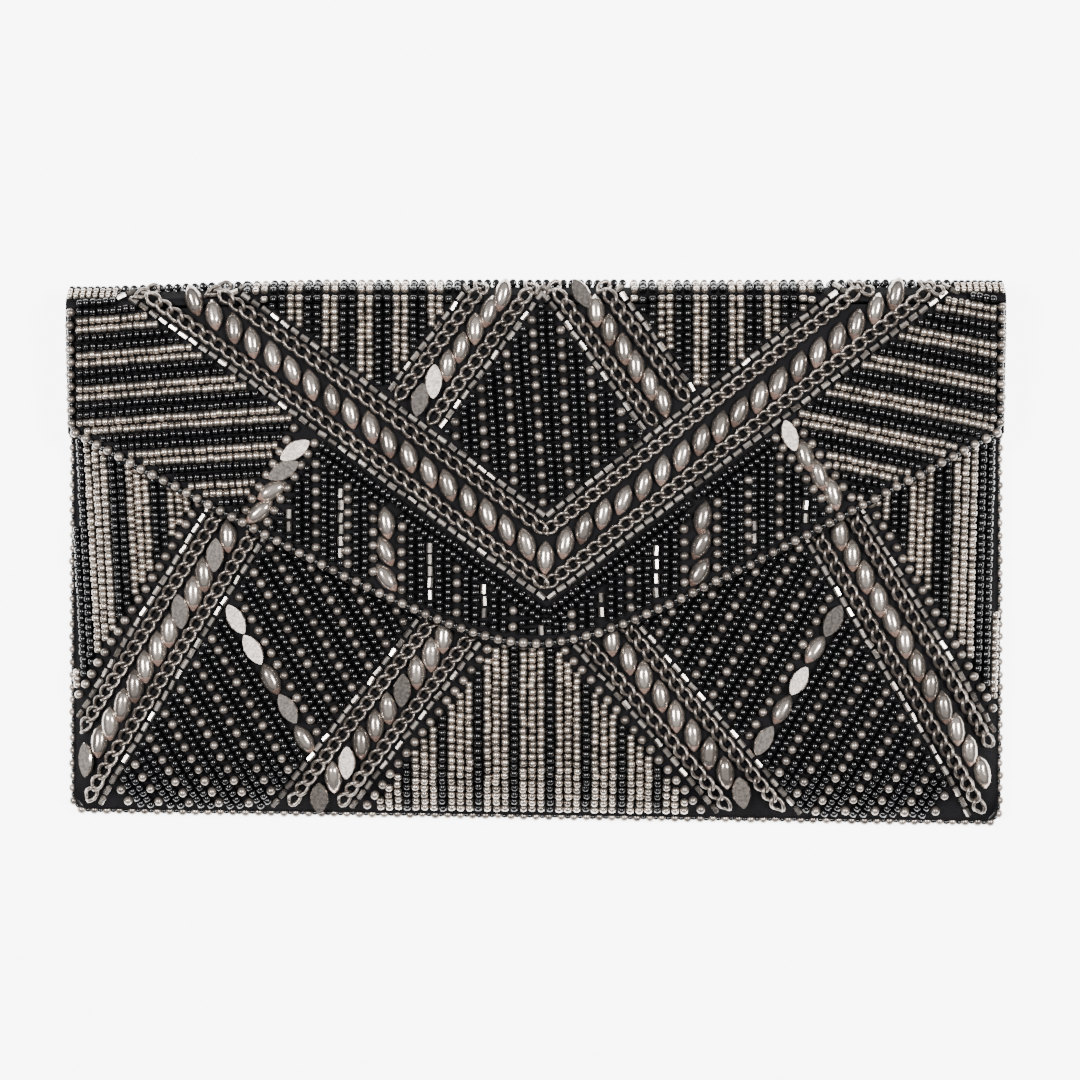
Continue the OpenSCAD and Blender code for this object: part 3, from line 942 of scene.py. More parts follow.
def flap_inside(extra):
    """On the flap, clear of its edge beads and of the fold."""
    def test(x, y):
        return (over_edge(x, y) > FLAP_MARGIN) & (y < CREASE_Y - 0.1) & extra(x, y)
    return test


def front_fields():
    """The five fields of the front: rows and bounds."""
    bars = BARS
    far_left = stripes(-121, 13.4, 93.2, 2.18, "sssbb", -3, 22)
    left_base = np.array(LINES["left"][:2])
    right_base = np.array(LINES["right"][:2])
    left, right = [], []
    slant = -59.8
    turn = math.radians(slant)
    toward = np.array([-math.sin(turn), math.cos(turn)])     # up and to the right
    mirrored = toward * (-1, 1)
    for base, normal, degrees, rows in (
        (left_base, toward, slant, left), (right_base, mirrored, -180 - slant, right)
    ):
        for start, pattern, low, high in (
            (3.6, "rbb", 0, 21), (1.2, "b", 0, 1), (-1.2, "b", 0, 1), (-3.7, "bbr", 0, 21)
        ):
            sign = 1 if start > 0 else -1
            for k in range(low, high):
                p = base + normal * (start + sign * k * ROW)
                rows.append((p[0], p[1], math.radians(degrees), pattern[k % len(pattern)]))
    centre = stripes(-5.95, -46.1, 90, 2.44, "bsss", -16, 20)
    far_right = stripes(102.1, 9.4, 88.5, 2.36, "sssbb", -8, 12)
    return {
        "front_far_left": (far_left, panel_inside(
            lambda x, y: off_bar(bars["far_left"], x, y) < -BAR_FLANK - 1.4)),
        "front_left": (left, panel_inside(
            lambda x, y: (off_bar(bars["far_left"], x, y) > BAR_HALF)
            & (off_bar(bars["left"], x, y) < -BAR_HALF)
            & (off_bed(LINES["left"], x, y, 0.6) > 0))),
        "front_centre": (centre, panel_inside(
            lambda x, y: (off_bar(bars["left"], x, y) > BAR_FLANK + 1.4)
            & (off_bar(bars["right"], x, y) < -BAR_FLANK - 1.4))),
        "front_right": (right, panel_inside(
            lambda x, y: (off_bar(bars["right"], x, y) > BAR_HALF)
            & (off_bar(bars["far_right"], x, y) < -BAR_HALF)
            & (off_bed(LINES["right"], x, y, 0.6) > 0))),
        "front_far_right": (far_right, panel_inside(
            lambda x, y: off_bar(bars["far_right"], x, y) > BAR_FLANK + 1.4)),
    }


def bar_row(bar, offset, kind, inside):
    """A row beside a bar, offset to its left."""
    x0, y0, x1, y1 = bar[:4]
    heading = math.atan2(y1 - y0, x1 - x0)
    return (x0 - offset * math.sin(heading), y0 + offset * math.cos(heading), heading, kind, inside)


def v_rows(offset, kind, keep):
    """Two rows beside the V band, one along each arm."""
    ax, ay = V_APEX
    def left_only(x, y):
        return (v_arms(x, y)[1] > offset) & keep(x, y)
    def right_only(x, y):
        return (v_arms(x, y)[0] > offset) & keep(x, y)
    return [
        (ax + offset * math.sin(V_LEFT), ay + offset * math.cos(V_LEFT), math.pi - V_LEFT, kind,
         left_only),
        (ax - offset * math.sin(V_RIGHT), ay + offset * math.cos(V_RIGHT), V_RIGHT, kind,
         right_only),
    ]


# columns under the V band, from left to right: x, kind, and for bugles their lowest and highest y
LOW_COLUMNS = (
    (-66.7, "g", 6.2, 12.4), (-59.4, "r"), (-52.7, "g", -0.7, 17.7), (-50.8, "r"), (-44.0, "r"),
    (-36.2, "r"), (-28.6, "g", -11.9, 3.7), (-21.3, "r"), (-14.0, "g", -17.1, -8.1),
    (-6.2, "r"), (1.4, "g", -21.6, -16.6), (9.7, "r"), (17.6, "g", -17.1, -10.0), (25.4, "r"),
    (32.4, "g", -11.7, 2.9), (40.0, "r"), (48.9, "r"), (57.3, "r"), (58.9, "g", 3.2, 9.1),
    (65.7, "r"), (72.7, "g", 8.3, 14.9),
)


def low_rows(inside):
    """Rows of the field under the V: two rows beside the band, then upright columns."""
    def deep(x, y):
        return inside(x, y) & (over_v(x, y) < -V_HALF - 4.7)
    rows = []
    for k in range(2):
        rows += v_rows(-V_HALF - 1.3 - 2.35 * k, "b", inside)
    up = math.pi / 2
    places = [c[0] for c in LOW_COLUMNS]
    for a, b in zip([-80.8] + places, places + [86.8]):
        n = int(round((b - a) / 2.33)) - 1
        rows += [(a + (b - a) * (k + 1) / (n + 1), 0, up, "b", deep) for k in range(max(n, 0))]
    for column in LOW_COLUMNS:
        if column[1] == "r":
            rows.append((column[0], 0, up, "r", deep))
            continue
        low, high = column[2:]
        rows.append((column[0], 0, up, "g",
                     lambda x, y, a=low, b=high: deep(x, y) & (y > a - 0.4) & (y < b + 0.4)))
        rows.append((column[0], 0, up, "b",
                     lambda x, y, a=low, b=high: deep(x, y) & ((y < a - 0.6) | (y > b + 0.6))))
    return rows


def flap_fields():
    """The six fields of the flap: rows and bounds."""
    bars, groups = BARS, GROUPS
    def below(x, y):
        return over_v(x, y) < -V_HALF
    def above(x, y):
        return over_v(x, y) > V_HALF
    low_bounds = flap_inside(
        lambda x, y: below(x, y) & (off_bar(groups["group_left"], x, y) > 4.6)
        & (off_bar(groups["group_right"], x, y) < -4.6)
        & (off_bed(groups["trio_left"], x, y) > 0) & (off_bed(groups["trio_right"], x, y) > 0))
    return {
        "flap_left": (stripes(-113.1, 65.3, 3.5, 2.395, "ssbb", -4, 30), flap_inside(
            lambda x, y: below(x, y) & (off_bar(groups["group_left"], x, y) < -4.8))),
        "flap_right": (stripes(110.5, 68.8, -10.2, 2.385, "ssbb", -4, 30, -0.12), flap_inside(
            lambda x, y: below(x, y) & (off_bar(groups["group_right"], x, y) > 4.8))),
        "flap_low": (low_rows(low_bounds), low_bounds),
        "flap_upper_left": (stripes(-75.7, 50, 90, 2.37, "ssbb", -6, 30), flap_inside(
            lambda x, y: above(x, y) & (off_bar(bars["flap_left"], x, y) < -BAR_HALF))),
        "flap_upper_right": (stripes(33.75, 50, 90, 2.39, "ssbb", -8, 26), flap_inside(
            lambda x, y: above(x, y) & (off_bar(bars["flap_right"], x, y) > BAR_HALF))),
        "flap_diamond": (stripes(-7.0, 38.9, 93.4, 2.477, "rbb", -12, 18), flap_inside(
            lambda x, y: above(x, y) & (off_bar(bars["flap_left"], x, y) > BAR_HALF)
            & (off_bar(bars["flap_right"], x, y) < -BAR_HALF))),
    }


# ---- cloth ----


def sheet(name, body, slot, finish, cells, place, thick, inward, nodes):
    """A cloth layer: a grid bent to shape, with its thickness on the side that inward gives."""
    deselect()
    bpy.ops.mesh.primitive_grid_add(x_subdivisions=cells[0], y_subdivisions=cells[1], size=1)
    obj = bpy.context.object
    co = points(obj)
    flat = sag(place(co[:, 0] + 0.5, co[:, 1] + 0.5)) * MM
    set_points(obj, flat)
    wall = obj.modifiers.new("thickness", "SOLIDIFY")
    wall.thickness = thick * MM
    wall.offset = inward
    wall.use_even_offset = True
    bpy.ops.object.modifier_apply(modifier=wall.name)
    bpy.ops.object.shade_smooth_by_angle(angle=math.radians(50))
    put(obj, name, body, slot, finish, *nodes)
    return obj


def between(low, high, limit, height):
    """Maps a unit square onto the cloth between two edges given over x."""
    def place(u, v):
        x = (2 * u - 1) * limit
        y = low(x) + (high - low(x)) * v
        return np.column_stack([x, y, height(x, y)])
    return place


def rounded_bottom(inset):
    """The bottom edge with its two rounded corners."""
    def edge(x):
        limit = SIDE - inset
        near = np.clip((np.abs(x) - (limit - CORNER)) / CORNER, 0, 1)
        return bottom_at(x) + inset + CORNER * (1 - np.sqrt(np.clip(1 - near ** 2, 0, 1)))
    return edge


def flat_at(z):
    return lambda x, y: np.full_like(x, z)


def lowered(height, depth):
    return lambda x, y: height(x, y) - depth


# ---- operators ----

class CLUTCH_OT_case_cloth(Operator):
    """Cloth layers of the pocket's back and front, and its slip pocket"""
    bl_idname = "clutch.case_cloth"
    bl_label = "Case cloth"

    def execute(self, context):
        limit = SIDE - INSET
        for name, finish, slot, z, thick, cells in (
            ("back_satin", black_satin, "satin", BACK_Z, SATIN, (64, 38)),
            ("back_stiffener", grey_felt, "stiffening", BACK_Z + SATIN, STIFF, (40, 24)),
            ("back_lining", black_lining, "lining", BACK_Z + SATIN + STIFF, LINING, (64, 38)),
        ):
            cut = 0.4 if slot == "satin" else 0.8
            sheet(name + "_cloth", "case", slot, [finish], cells,
                  between(rounded_bottom(INSET), CREASE_Y - cut, limit, flat_at(z)), thick, 1,
                  [name])
        for name, finish, slot, depth, thick, cells in (
            ("front_satin", black_satin, "satin", 0, SATIN, (96, 52)),
            ("front_stiffener", grey_felt, "stiffening", SATIN, STIFF, (72, 40)),
            ("front_lining", black_lining, "lining", SATIN + STIFF, LINING, (96, 52)),
        ):
            sheet(name + "_cloth", "case", slot, [finish], cells,
                  between(rounded_bottom(INSET), MOUTH, limit, lowered(front_height, depth)),
                  thick, -1, [name])
        low, high = (edge_of("slip_pocket", i, 1) for i in (0, 1))
        wide = edge_of("slip_pocket", 1, 0)
        sheet("slip_pocket_cloth", "case", "lining", [black_lining], (40, 28),
              between(lambda x: np.full_like(x, low), high, wide, flat_at(CASE_Z)), LINING, 1,
              ["slip_pocket"])
        return {"FINISHED"}


class CLUTCH_OT_flap_cloth(Operator):
    """Cloth layers of the flap"""
    bl_idname = "clutch.flap_cloth"
    bl_label = "Flap cloth"

    def execute(self, context):
        for name, finish, slot, depth, thick, inset, cut, cells in (
            ("flap_satin", black_satin, "satin", 0, SATIN, 0, 0.4, (96, 40)),
            ("flap_stiffener", grey_felt, "stiffening", SATIN, STIFF, 1, 0.8, (64, 28)),
            ("flap_lining", black_lining, "lining", SATIN + STIFF, LINING, 0.6, 0.8, (96, 40)),
        ):
            limit = FLAP_SIDE - inset
            sheet(name + "_cloth", "flap", slot, [finish], cells,
                  between(lambda x, i=inset: flap_edge(x) + i * 1.12, CREASE_Y - cut, limit,
                          lowered(flap_height, depth)), thick, -1, [name])
        return {"FINISHED"}


class CLUTCH_OT_fold_cloth(Operator):
    """Cloth that runs over the fold: one piece over each crease, attached to no body"""
    bl_idname = "clutch.fold_cloth"
    bl_label = "Fold cloth"

    def execute(self, context):
        path = [CREASES[0] + (-2.5, 0), *CREASES, CREASES[3] + (-2.5, 0)]
        for i in range(4):
            corner = path[i + 1]
            before = (path[i + 1] + path[i]) / 2 if i else path[0]
            after = (path[i + 2] + path[i + 1]) / 2 if i < 3 else path[5]
            nodes = [] if i == 3 else [STRIPS[i] + "_satin", STRIPS[i] + "_lining"]
            def place(u, v, before=before, corner=corner, after=after):
                t = v[:, None]
                # a small round at the crease keeps the cloth from breaking there
                pull = np.exp(-((t - 0.5) / 0.12) ** 2) * 0.12
                line = np.where(t < 0.5, before + (corner - before) * 2 * t,
                                corner + (after - corner) * (2 * t - 1))
                line = line + ((before + after) / 2 - corner) * pull
                return np.column_stack([(2 * u - 1) * FLAP_SIDE, line])
            name = f"crease_cloth_{i + 1}"
            obj = sheet(name, None, "satin", [black_satin, black_lining], (60, 12), place,
                        SATIN + LINING - 0.05, 1, nodes)
            inward = Vector((0, *((before + after) / 2 - corner))).normalized()
            for face in obj.data.polygons:
                face.material_index = 1 if face.normal.dot(inward) > 0.6 else 0
            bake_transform(obj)
        return {"FINISHED"}


class CLUTCH_OT_front_beads(Operator):
    """Five fields of beadwork on the front, and the round beads beside its bars"""
    bl_idname = "clutch.front_beads"
    bl_label = "Front beadwork"

    def execute(self, context):
        for name, (rows, inside) in front_fields().items():
            node = name.replace("front_", "front_beads_")
            field(name, "case", rows, inside, front_height, node)
        anywhere = panel_inside(everywhere)
        flank = [
            bar_row(BARS[name], side * BAR_FLANK, "r", anywhere)
            for name, side in (("far_left", -1), ("left", 1), ("right", -1), ("far_right", 1))
        ]
        spots = gather(flank, anywhere)["r"]
        strew_rounds("front_flank_round_beads", "case",
                     batch("r", spots, lay_on(front_height), [3, 1]))
        return {"FINISHED"}


class CLUTCH_OT_flap_beads(Operator):
    """Six fields of beadwork on the flap, and the round beads beside its groups of stones"""
    bl_idname = "clutch.flap_beads"
    bl_label = "Flap beadwork"

    def execute(self, context):
        lay = lay_on(flap_height)
        for name, (rows, inside) in flap_fields().items():
            node = name.replace("flap_", "flap_beads_")
            if name == "flap_low":
                bugles = [row for row in rows if row[3] == "g"]
                rows = [row for row in rows if row[3] != "g"]
                found = gather(bugles, inside)
                strew("flap_low_bugle_beads", "flap", "bugle_beads", [lined_bugle],
                      [batch("g", found["g"], lay, [4, 4])])
            field(name, "flap", rows, inside, flap_height, node)
        anywhere = flap_inside(lambda x, y: over_v(x, y) < -V_HALF)
        flank = [
            bar_row(GROUPS[name], side * 3.4, "r", anywhere)
            for name in ("group_left", "group_right") for side in (-1, 1)
        ]
        spots = gather(flank, anywhere)["r"]
        strew_rounds("flap_flank_round_beads", "flap", batch("r", spots, lay, [3, 2]))
        return {"FINISHED"}


class CLUTCH_OT_fold_beads(Operator):
    """Beadwork on the fold's three strips, in line with the flap's rows"""
    bl_idname = "clutch.fold_beads"
    bl_label = "Fold beadwork"

    def execute(self, context):
        pattern = [(x, k) for x, _, _, k in stripes(-75.7, 0, 90, 2.37, "ssbb", -1, 24)
                   if x < -21]
        pattern += [(x, k) for x, _, _, k in stripes(33.75, 0, 90, 2.39, "ssbb", -4, 28)
                    if 24.5 < x < 79]
        plain = [(x, "b") for first, last in ((-111.5, -78.5), (-20, 23.5), (80.5, 111.5))
                 for x in np.linspace(first, last, int(round((last - first) / 2.34)) + 1)]
        for i, name in enumerate(STRIPS):
            x, v, heading, kind = [], [], [], []
            for at, which in pattern + (plain if i < 2 else []):
                for k in range(STEPS[i]):
                    x.append(at)
                    v.append((k + 0.5) * FOLD_PITCH)
                    heading.append(math.pi / 2)
                    kind.append(which)
            across = "ssbbssbbs"
            done = sum(STEPS[i + 1:])
            for side in (-1, 1):
                for k in range(STEPS[i]):
                    for j in range(8):
                        x.append(side * (FLAP_SIDE - 1.1 - 1.74 * j))
                        v.append((k + 0.5) * FOLD_PITCH)
                        heading.append(0.0)
                        kind.append(across[done + STEPS[i] - 1 - k])
            spots = np.column_stack([x, v, heading])
            kind = np.array(kind)
            def lay(px, pv, turn, lift, i=i):
                return on_strip(i, px, pv, turn, lift)
            batches = []
            for at, which in enumerate("bs"):
                shape, places, axes, scales, tone, _ = batch(
                    which, spots[kind == which], lay, [i, 8, at], at, jitter=0.6)
                # smaller beads stay clear of each other when the fold opens flat
                lying = spots[kind == which][:, 2] == 0
                scales = scales * np.where(lying, 0.8, 0.92)[:, None]
                batches.append((shape, places, axes, scales, tone, at))
            strew_seeds(name + "_seed_beads", name, batches, name + "_beads")
        return {"FINISHED"}


class CLUTCH_OT_back_beads(Operator):
    """Beadwork on the back: upright stripes in line with the fold's"""
    bl_idname = "clutch.back_beads"
    bl_label = "Back beadwork"

    def execute(self, context):
        def inside(x, y):
            return (in_seam(x, y) > 3.1) & (y < CREASE_Y - 0.1)
        columns = stripes(-123.1, 0, 90, 2.37, "ssbb", 0, 105)
        parts = 4
        ends = [-SIDE + 2 * SIDE * part / parts for part in range(parts + 1)]
        for part in range(parts):
            some = [column for column in columns if ends[part] <= column[0] < ends[part + 1]]
            found = gather(some, inside)
            batches = []
            for at, kind in enumerate("bs"):
                shape, places, axes, scales, tone, _ = batch(
                    kind, found[kind], on_back, [part, 9, at], at)
                batches.append((unit("small_seed"), places, axes, scales, tone, at))
            strew_seeds(f"back_seed_beads_{part + 1}", "case", batches, "back_beadwork")
        return {"FINISHED"}


def follow(xy, pitch):
    """Evenly spaced places and headings along a polyline."""
    steps = np.linalg.norm(np.diff(xy, axis=0), axis=1)
    at = np.concatenate([[0], np.cumsum(steps)])
    n = int(at[-1] / pitch)
    s = (np.arange(n) + 0.5) * at[-1] / n
    x, y = np.interp(s, at, xy[:, 0]), np.interp(s, at, xy[:, 1])
    dx = np.interp(s + 0.2, at, xy[:, 0]) - np.interp(s - 0.2, at, xy[:, 0])
    dy = np.interp(s + 0.2, at, xy[:, 1]) - np.interp(s - 0.2, at, xy[:, 1])
    return np.column_stack([x, y, np.arctan2(dy, dx)])


def halfway(spots):
    """Places and headings midway between one spot and the next."""
    return (spots[1:] + spots[:-1]) / 2


def seam_path(inset):
    """The seam's line from the mouth down the left side, along the bottom and up the right."""
    limit = SIDE - inset
    x = np.concatenate([
        np.full(2, -limit), np.linspace(-limit, -limit + CORNER, 8)[1:],
        np.linspace(limit - CORNER, limit, 8)[:-1], np.full(2, limit),
    ])
    low = rounded_bottom(inset)(x)
    low[0] = low[-1] = MOUTH
    low[1], low[-2] = bottom_at(-limit) + inset + CORNER, bottom_at(limit) + inset + CORNER
    return np.column_stack([x, low])


class CLUTCH_OT_edge_beads(Operator):
    """Round beads along the seam and along the flap's free edge, and the seam's binding"""
    bl_idname = "clutch.edge_beads"
    bl_label = "Edge beads"

    def execute(self, context):
        z = (edge_of("seam_beads", 0, 2) + edge_of("seam_beads", 1, 2)) / 2
        path = seam_path(size("edge_width") / 2)
        spots = follow(path, SEAM_PITCH)
        def beside(x, y, heading, lift):
            return on_cloth(flat_at(z), x, y, heading, lift * 0)
        strew_rounds("seam_round_beads", "case", batch("e", spots, beside, [6, 1]), "seam_beads")
        strew_seeds("seam_spacer_beads", "case", [batch("t", halfway(spots), beside, [6, 3])])
        limit = FLAP_SIDE - size("edge_width") / 2
        x = np.linspace(-limit, limit, 240)
        low = np.column_stack([x, flap_edge(x) + 1.45])
        left = [(-limit, CREASE_Y - 1.5)]
        right = [(limit, CREASE_Y - 1.5)]
        spots = follow(np.concatenate([left, low, right]), EDGE_PITCH)
        lay = lay_on(flap_height)
        strew_seeds("flap_edge_spacer_beads", "flap",
                    [batch("t", halfway(spots), lay, [6, 4], lift=0.9)])
        strew_rounds("flap_edge_round_beads", "flap",
                     batch("e", spots, lay, [6, 2], lift=1.0), "flap_edge_beads")
        path = seam_path(INSET + 0.1)
        steps = np.linalg.norm(np.diff(path, axis=0), axis=1)
        at = np.concatenate([[0], np.cumsum(steps)]) / steps.sum()
        base, top = edge_of("seam_binding", 0, 2), edge_of("seam_binding", 1, 2)
        def place(u, v):
            x, y = np.interp(u, at, path[:, 0]), np.interp(u, at, path[:, 1])
            return np.column_stack([x, y, base + (top - base) * v])
        sheet("seam_binding_cloth", "case", "satin", [black_satin], (260, 4), place, 0.45, 1,
              ["seam_binding"])
        return {"FINISHED"}


def trims(name, body, kind, slot, finish, rows, inside, height, nodes):
    """Chains or bugle lines: rows that become one piece."""
    found = gather(rows, inside)[kind]
    if kind == "c":
        rng = np.random.default_rng([len(name), 21])
        n = len(found)
        x, y, heading = found.T
        places, axes = on_cloth(height, x, y, heading + rng.normal(0, 0.03, n),
                                np.full(n, 1.25) + rng.normal(0, 0.04, n))
        scales = np.ones((n, 3)) * (1 + rng.normal(0, 0.015, (n, 1)))
        made = (unit("link"), places, axes, scales, rng.uniform(0, 1, n), 0)
    else:
        made = batch(kind, found, lay_on(height), [len(name), 22])
    return strew(name, body, slot, [finish], [made], *nodes)


class CLUTCH_OT_trims(Operator):
    """Curb chains and bugle beads beside every bar of stones and the V band"""
    bl_idname = "clutch.trims"
    bl_label = "Chains and bugles"

    def over_fold(self, name, rows, slot, finish):
        """Carries rows from the flap over the crease, onto the fold's upper strip."""
        reach = STEPS[2] * FOLD_PITCH
        kind = rows[0][3]
        spots = []
        for x, y, heading, _, _ in rows:
            way = 1 if math.sin(heading) > 0 else -1
            c, s = way * math.cos(heading), way * math.sin(heading)
            cross = x + (CREASE_Y - y) * c / s
            run = reach / s
            n = max(int(run / PITCH[kind] + 0.45), 1)
            for k in range(n):
                far = (k + 0.5) * run / n
                spots.append((cross + far * c, reach - far * s, math.atan2(-s, c)))
        spots = np.array(spots)
        if kind == "c":
            x, v, heading = spots.T
            places, axes = on_strip(2, x, reach - v, -heading, np.full(len(x), 1.2))
            made = (unit("link"), places, axes, np.ones((len(x), 3)),
                    np.linspace(0, 1, len(x)), 0)
        else:
            def lay(x, v, heading, lift):
                return on_strip(2, x, reach - v, -heading, lift)
            made = batch("g", spots, lay, [2, 23])
        strew(name, "fold_upper", slot, [finish], [made])

    def execute(self, context):
        front = panel_inside(everywhere)
        shorter = panel_inside(lambda x, y: in_seam(x, y) > CHAIN_MARGIN)
        def whole(x, y):
            return (over_edge(x, y) > FLAP_MARGIN) & (y < CREASE_Y + 1.0)
        def high(x, y):
            return whole(x, y) & (over_v(x, y) > V_HALF + 0.6)
        both = (-1, 1)
        for node, bars in (
            ("front_chains_left", ("far_left", "left")),
            ("front_chains_right", ("right", "far_right")),
        ):
            rows = [bar_row(BARS[b], s * BAR_CHAIN, "c", shorter) for b in bars for s in both]
            trims(node.replace("chains", "curb_chains"), "case", "c", "curb_chain", gunmetal,
                  rows, front, front_height, [node])
        rows = [bar_row(BARS[b], s * BAR_BUGLE, "g", front)
                for b in ("far_left", "left", "right", "far_right") for s in both]
        trims("front_bugle_beads", "case", "g", "bugle_beads", lined_bugle, rows, front,
              front_height, ["front_bugles"])
        for node, off in (("flap_chain_v_upper", V_CHAIN), ("flap_chain_v_lower", -V_CHAIN)):
            trims(node.replace("chain", "curb_chain"), "flap", "c", "curb_chain", gunmetal,
                  v_rows(off, "c", whole), whole, flap_height, [node])
        for side in ("left", "right"):
            rows = [bar_row(BARS["flap_" + side], s * BAR_CHAIN, "c", high) for s in both]
            trims(f"flap_curb_chains_bar_{side}", "flap", "c", "curb_chain", gunmetal, rows, high,
                  flap_height, [f"flap_chains_bar_{side}"])
        rows = v_rows(V_BUGLE, "g", whole) + v_rows(-V_BUGLE, "g", whole)
        rows += [bar_row(BARS[b], s * BAR_BUGLE, "g", high)
                 for b in ("flap_left", "flap_right") for s in both]
        trims("flap_bugle_beads", "flap", "g", "bugle_beads", lined_bugle, rows, whole,
              flap_height, ["flap_bugles"])
        chain_rows = v_rows(V_CHAIN, "c", whole) + v_rows(-V_CHAIN, "c", whole) + [
            bar_row(BARS[b], s * BAR_CHAIN, "c", high)
            for b in ("flap_left", "flap_right") for s in both]
        self.over_fold("fold_upper_curb_chains", chain_rows, "curb_chain", gunmetal)
        self.over_fold("fold_upper_bugle_beads", rows, "bugle_beads", lined_bugle)
        return {"FINISHED"}


def bar_stones(bar, first, last, reach=1.0):
    """Places and turns, from the Y axis, of a row of stones, stretched to a reach."""
    t = np.linspace(0, reach, bar[4])
    return np.column_stack([
        bar[0] + (bar[2] - bar[0]) * t, bar[1] + (bar[3] - bar[1]) * t,
        np.radians(first + (last - first) * t),
    ])


def set_stones(name, body, spots, height, nodes, flipped=(), bright=(), scale=1.0):
    """A row of stones as one piece. Flipped ones show their painted backs, and those listed as
    bright get a painted reflection of the lights: a near-white colour.
    """
    rng = np.random.default_rng([len(name), 31])
    n = len(spots)
    x, y, turn = spots.T
    places, axes = on_cloth(height, x + rng.normal(0, 0.12, n), y + rng.normal(0, 0.15, n),
                            turn + math.pi / 2 + rng.normal(0, 0.06, n), np.full(n, 0.1))
    tilt_a, tilt_b = rng.normal(0, 0.09, n), rng.normal(0, 0.06, n)
    for i in range(n):
        roll = tilt_a[i] + (math.pi if i in flipped else 0)
        c, s = math.cos(roll), math.sin(roll)
        cb, sb = math.cos(tilt_b[i]), math.sin(tilt_b[i])
        spin = np.array([[1, 0, 0], [0, c, -s], [0, s, c]])
        dip = np.array([[cb, 0, -sb], [0, 1, 0], [sb, 0, cb]])
        if i in flipped:
            places[i] += axes[i][:, 2] * size("stone_height") * 0.92
        axes[i] = axes[i] @ dip @ spin
    scales = np.ones((n, 3)) * (scale, scale, 1.0) * (1 + rng.normal(0, 0.02, (n, 1)))
    tone = rng.uniform(0, 0.8, n)
    # backs listed as bright get tone 1, a painted reflection of the lights
    tone[list(bright)] = 1.0
    return strew(name, body, "marquise_stones", [metallised_stone, painted_back, warm_tip],
                 [(unit("stone"), places, axes, scales, tone, 0)], *nodes)


class CLUTCH_OT_stones(Operator):
    """Marquise stones: the V band, the bars, the single lines and the small groups"""
    bl_idname = "clutch.stones"
    bl_label = "Stones"

    def execute(self, context):
        # in these tables the last column lists the flipped backs whose colour is a painted
        # reflection of the lights
        for name, turn, flipped, bright in (
            ("far_left", 0, (1, 4, 12), ()), ("left", 0, (3, 7, 9), (7,)),
            ("right", 4, (8,), ()), ("far_right", 4, (), ()),
        ):
            set_stones("front_marquise_stones_" + name, "case",
                       bar_stones(BARS[name], turn, turn, 1.025), front_height,
                       ["front_stones_" + name], flipped, bright, 1.03)
        for name, flipped, bright in (
            ("left", (0, 1, 3), (0, 1)), ("right", (0, 2, 4), (2,)),
        ):
            line = LINES[name]
            turn = math.degrees(math.atan2(line[3] - line[1], line[2] - line[0])) + 90
            set_stones("front_marquise_line_" + name, "case", bar_stones(line, turn, turn),
                       front_height, ["front_stone_line_" + name], flipped, bright)
        spots = [(V_APEX[0], V_APEX[1], 0.0)]
        for side, angle in ((-1, V_LEFT), (1, V_STONES_RIGHT)):
            for k in range(1, V_COUNT + 1):
                spots.append((V_APEX[0] + side * k * V_PITCH * math.cos(angle),
                              V_APEX[1] + k * V_PITCH * math.sin(angle),
                              math.radians(-side * 12)))
        set_stones("flap_marquise_stones_v", "flap", np.array(spots), flap_height,
                   ["flap_stones_v"])
        for name, turn, extra, flipped, bright in (
            ("left", -8, (-8.9, 70.0, -0.1), (5, 6), (5,)),
            ("right", 8, (12.2, 70.6, 0.5), (0,), ()),
        ):
            set_stones("flap_marquise_stones_bar_" + name, "flap",
                       np.concatenate([[extra], bar_stones(BARS["flap_" + name], turn, turn)]),
                       flap_height, ["flap_stones_bar_" + name], flipped, bright)
        spots = np.concatenate([bar_stones(g, g[5], g[6]) for g in GROUPS.values()])
        set_stones("flap_marquise_stones_small", "flap", spots, flap_height,
                   ["flap_stones_small"], (0, 1, 4), (0, 4))
        return {"FINISHED"}


class CLUTCH_OT_snap(Operator):
    """Finishes of the magnetic snap's metal parts, whose shapes stay as they are"""
    bl_idname = "clutch.snap"
    bl_label = "Snap"

    def execute(self, context):
        for name, finish in (
            ("snap_socket", nickel), ("snap_stud", nickel), ("snap_magnet", ferrite),
            ("snap_socket_plate", steel_plate), ("snap_stud_plate", steel_plate),
        ):
            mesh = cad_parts[name].data
            mesh.materials.clear()
            mesh.materials.append(material(finish.__name__, finish))
        return {"FINISHED"}


def soft_box(name, place, width, power):
    """A square light that faces the purse's middle."""
    light = bpy.data.lights.new(name, "AREA")
    light.shape = "RECTANGLE"
    light.size, light.size_y = width, width
    light.energy = power
    obj = bpy.data.objects.new(name, light)
    bpy.context.scene.collection.objects.link(obj)
    obj.location = place
    obj.rotation_euler = (-Vector(place)).to_track_quat("-Z", "Y").to_euler()


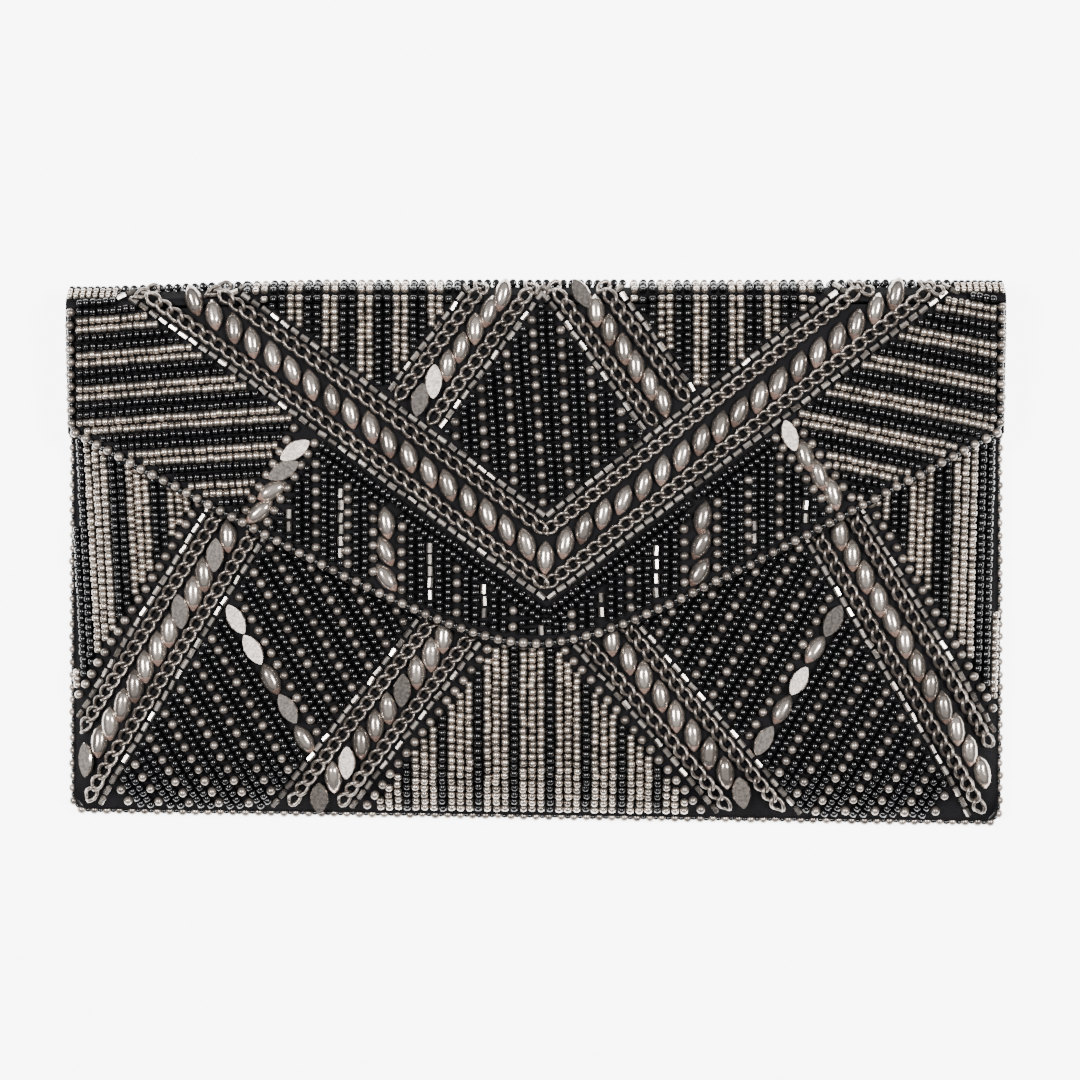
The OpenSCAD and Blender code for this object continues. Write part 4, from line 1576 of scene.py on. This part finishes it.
class CLUTCH_OT_stage(Operator):
    """Pale floor, soft studio light and the camera that looks straight down"""
    bl_idname = "clutch.stage"
    bl_label = "Stage"

    def execute(self, context):
        deselect()
        bpy.ops.mesh.primitive_plane_add(size=6.0)
        floor = bpy.context.object
        floor.name = "floor"
        floor.data.materials.append(material("floor_paper", floor_paper))
        world = bpy.data.worlds.new("studio") if not context.scene.world else context.scene.world
        context.scene.world = world
        world.use_nodes = True
        sky = world.node_tree.nodes["Background"].inputs
        sky["Color"].default_value = (0.9, 0.93, 1.0, 1)
        sky["Strength"].default_value = 0.11
        for name, side in (("softbox_left", -1), ("softbox_right", 1)):
            soft_box(name, (side * 0.6, 0.1, 1.05), 0.3, 19)
        soft_box("ceiling", (0, 0.1, 1.6), 3.4, 17)
        camera = bpy.data.cameras.new("camera")
        camera.lens = 85
        camera.sensor_width = 36
        obj = bpy.data.objects.new("camera", camera)
        bpy.context.scene.collection.objects.link(obj)
        obj.location = (1.08 * MM, 4.0 * MM, 0.689 + FLAP_Z * MM)
        context.scene.camera = obj
        return {"FINISHED"}


STEPS_IN_ORDER = (
    CLUTCH_OT_stage, CLUTCH_OT_case_cloth, CLUTCH_OT_flap_cloth, CLUTCH_OT_fold_cloth,
    CLUTCH_OT_front_beads, CLUTCH_OT_flap_beads, CLUTCH_OT_fold_beads, CLUTCH_OT_back_beads,
    CLUTCH_OT_edge_beads, CLUTCH_OT_trims, CLUTCH_OT_stones, CLUTCH_OT_snap,
)


class CLUTCH_PT_panel(Panel):
    """Lists the steps and the sizes and colours that they use"""
    bl_idname = "CLUTCH_PT_panel"
    bl_label = "Beaded clutch"
    bl_space_type = "VIEW_3D"
    bl_region_type = "UI"
    bl_category = "Clutch"

    def draw(self, context):
        layout = self.layout
        for step in STEPS_IN_ORDER:
            layout.operator(step.bl_idname)
        for group in (context.scene.clutch_sizes, context.scene.clutch_colours):
            box = layout.box()
            for key in group.bl_rna.properties.keys():
                if key not in ("rna_type", "name"):
                    box.prop(group, key)


CLASSES = (ClutchSizes, ClutchColours, *STEPS_IN_ORDER, CLUTCH_PT_panel)


def register():
    for cls in CLASSES:
        bpy.utils.register_class(cls)
    bpy.types.Scene.clutch_sizes = PointerProperty(type=ClutchSizes)
    bpy.types.Scene.clutch_colours = PointerProperty(type=ClutchColours)


def unregister():
    del bpy.types.Scene.clutch_colours
    del bpy.types.Scene.clutch_sizes
    for cls in reversed(CLASSES):
        bpy.utils.unregister_class(cls)


def main():
    register()
    for step in STEPS_IN_ORDER:
        area, name = step.bl_idname.split(".")
        getattr(getattr(bpy.ops, area), name)()


if __name__ == "__main__":
    main()
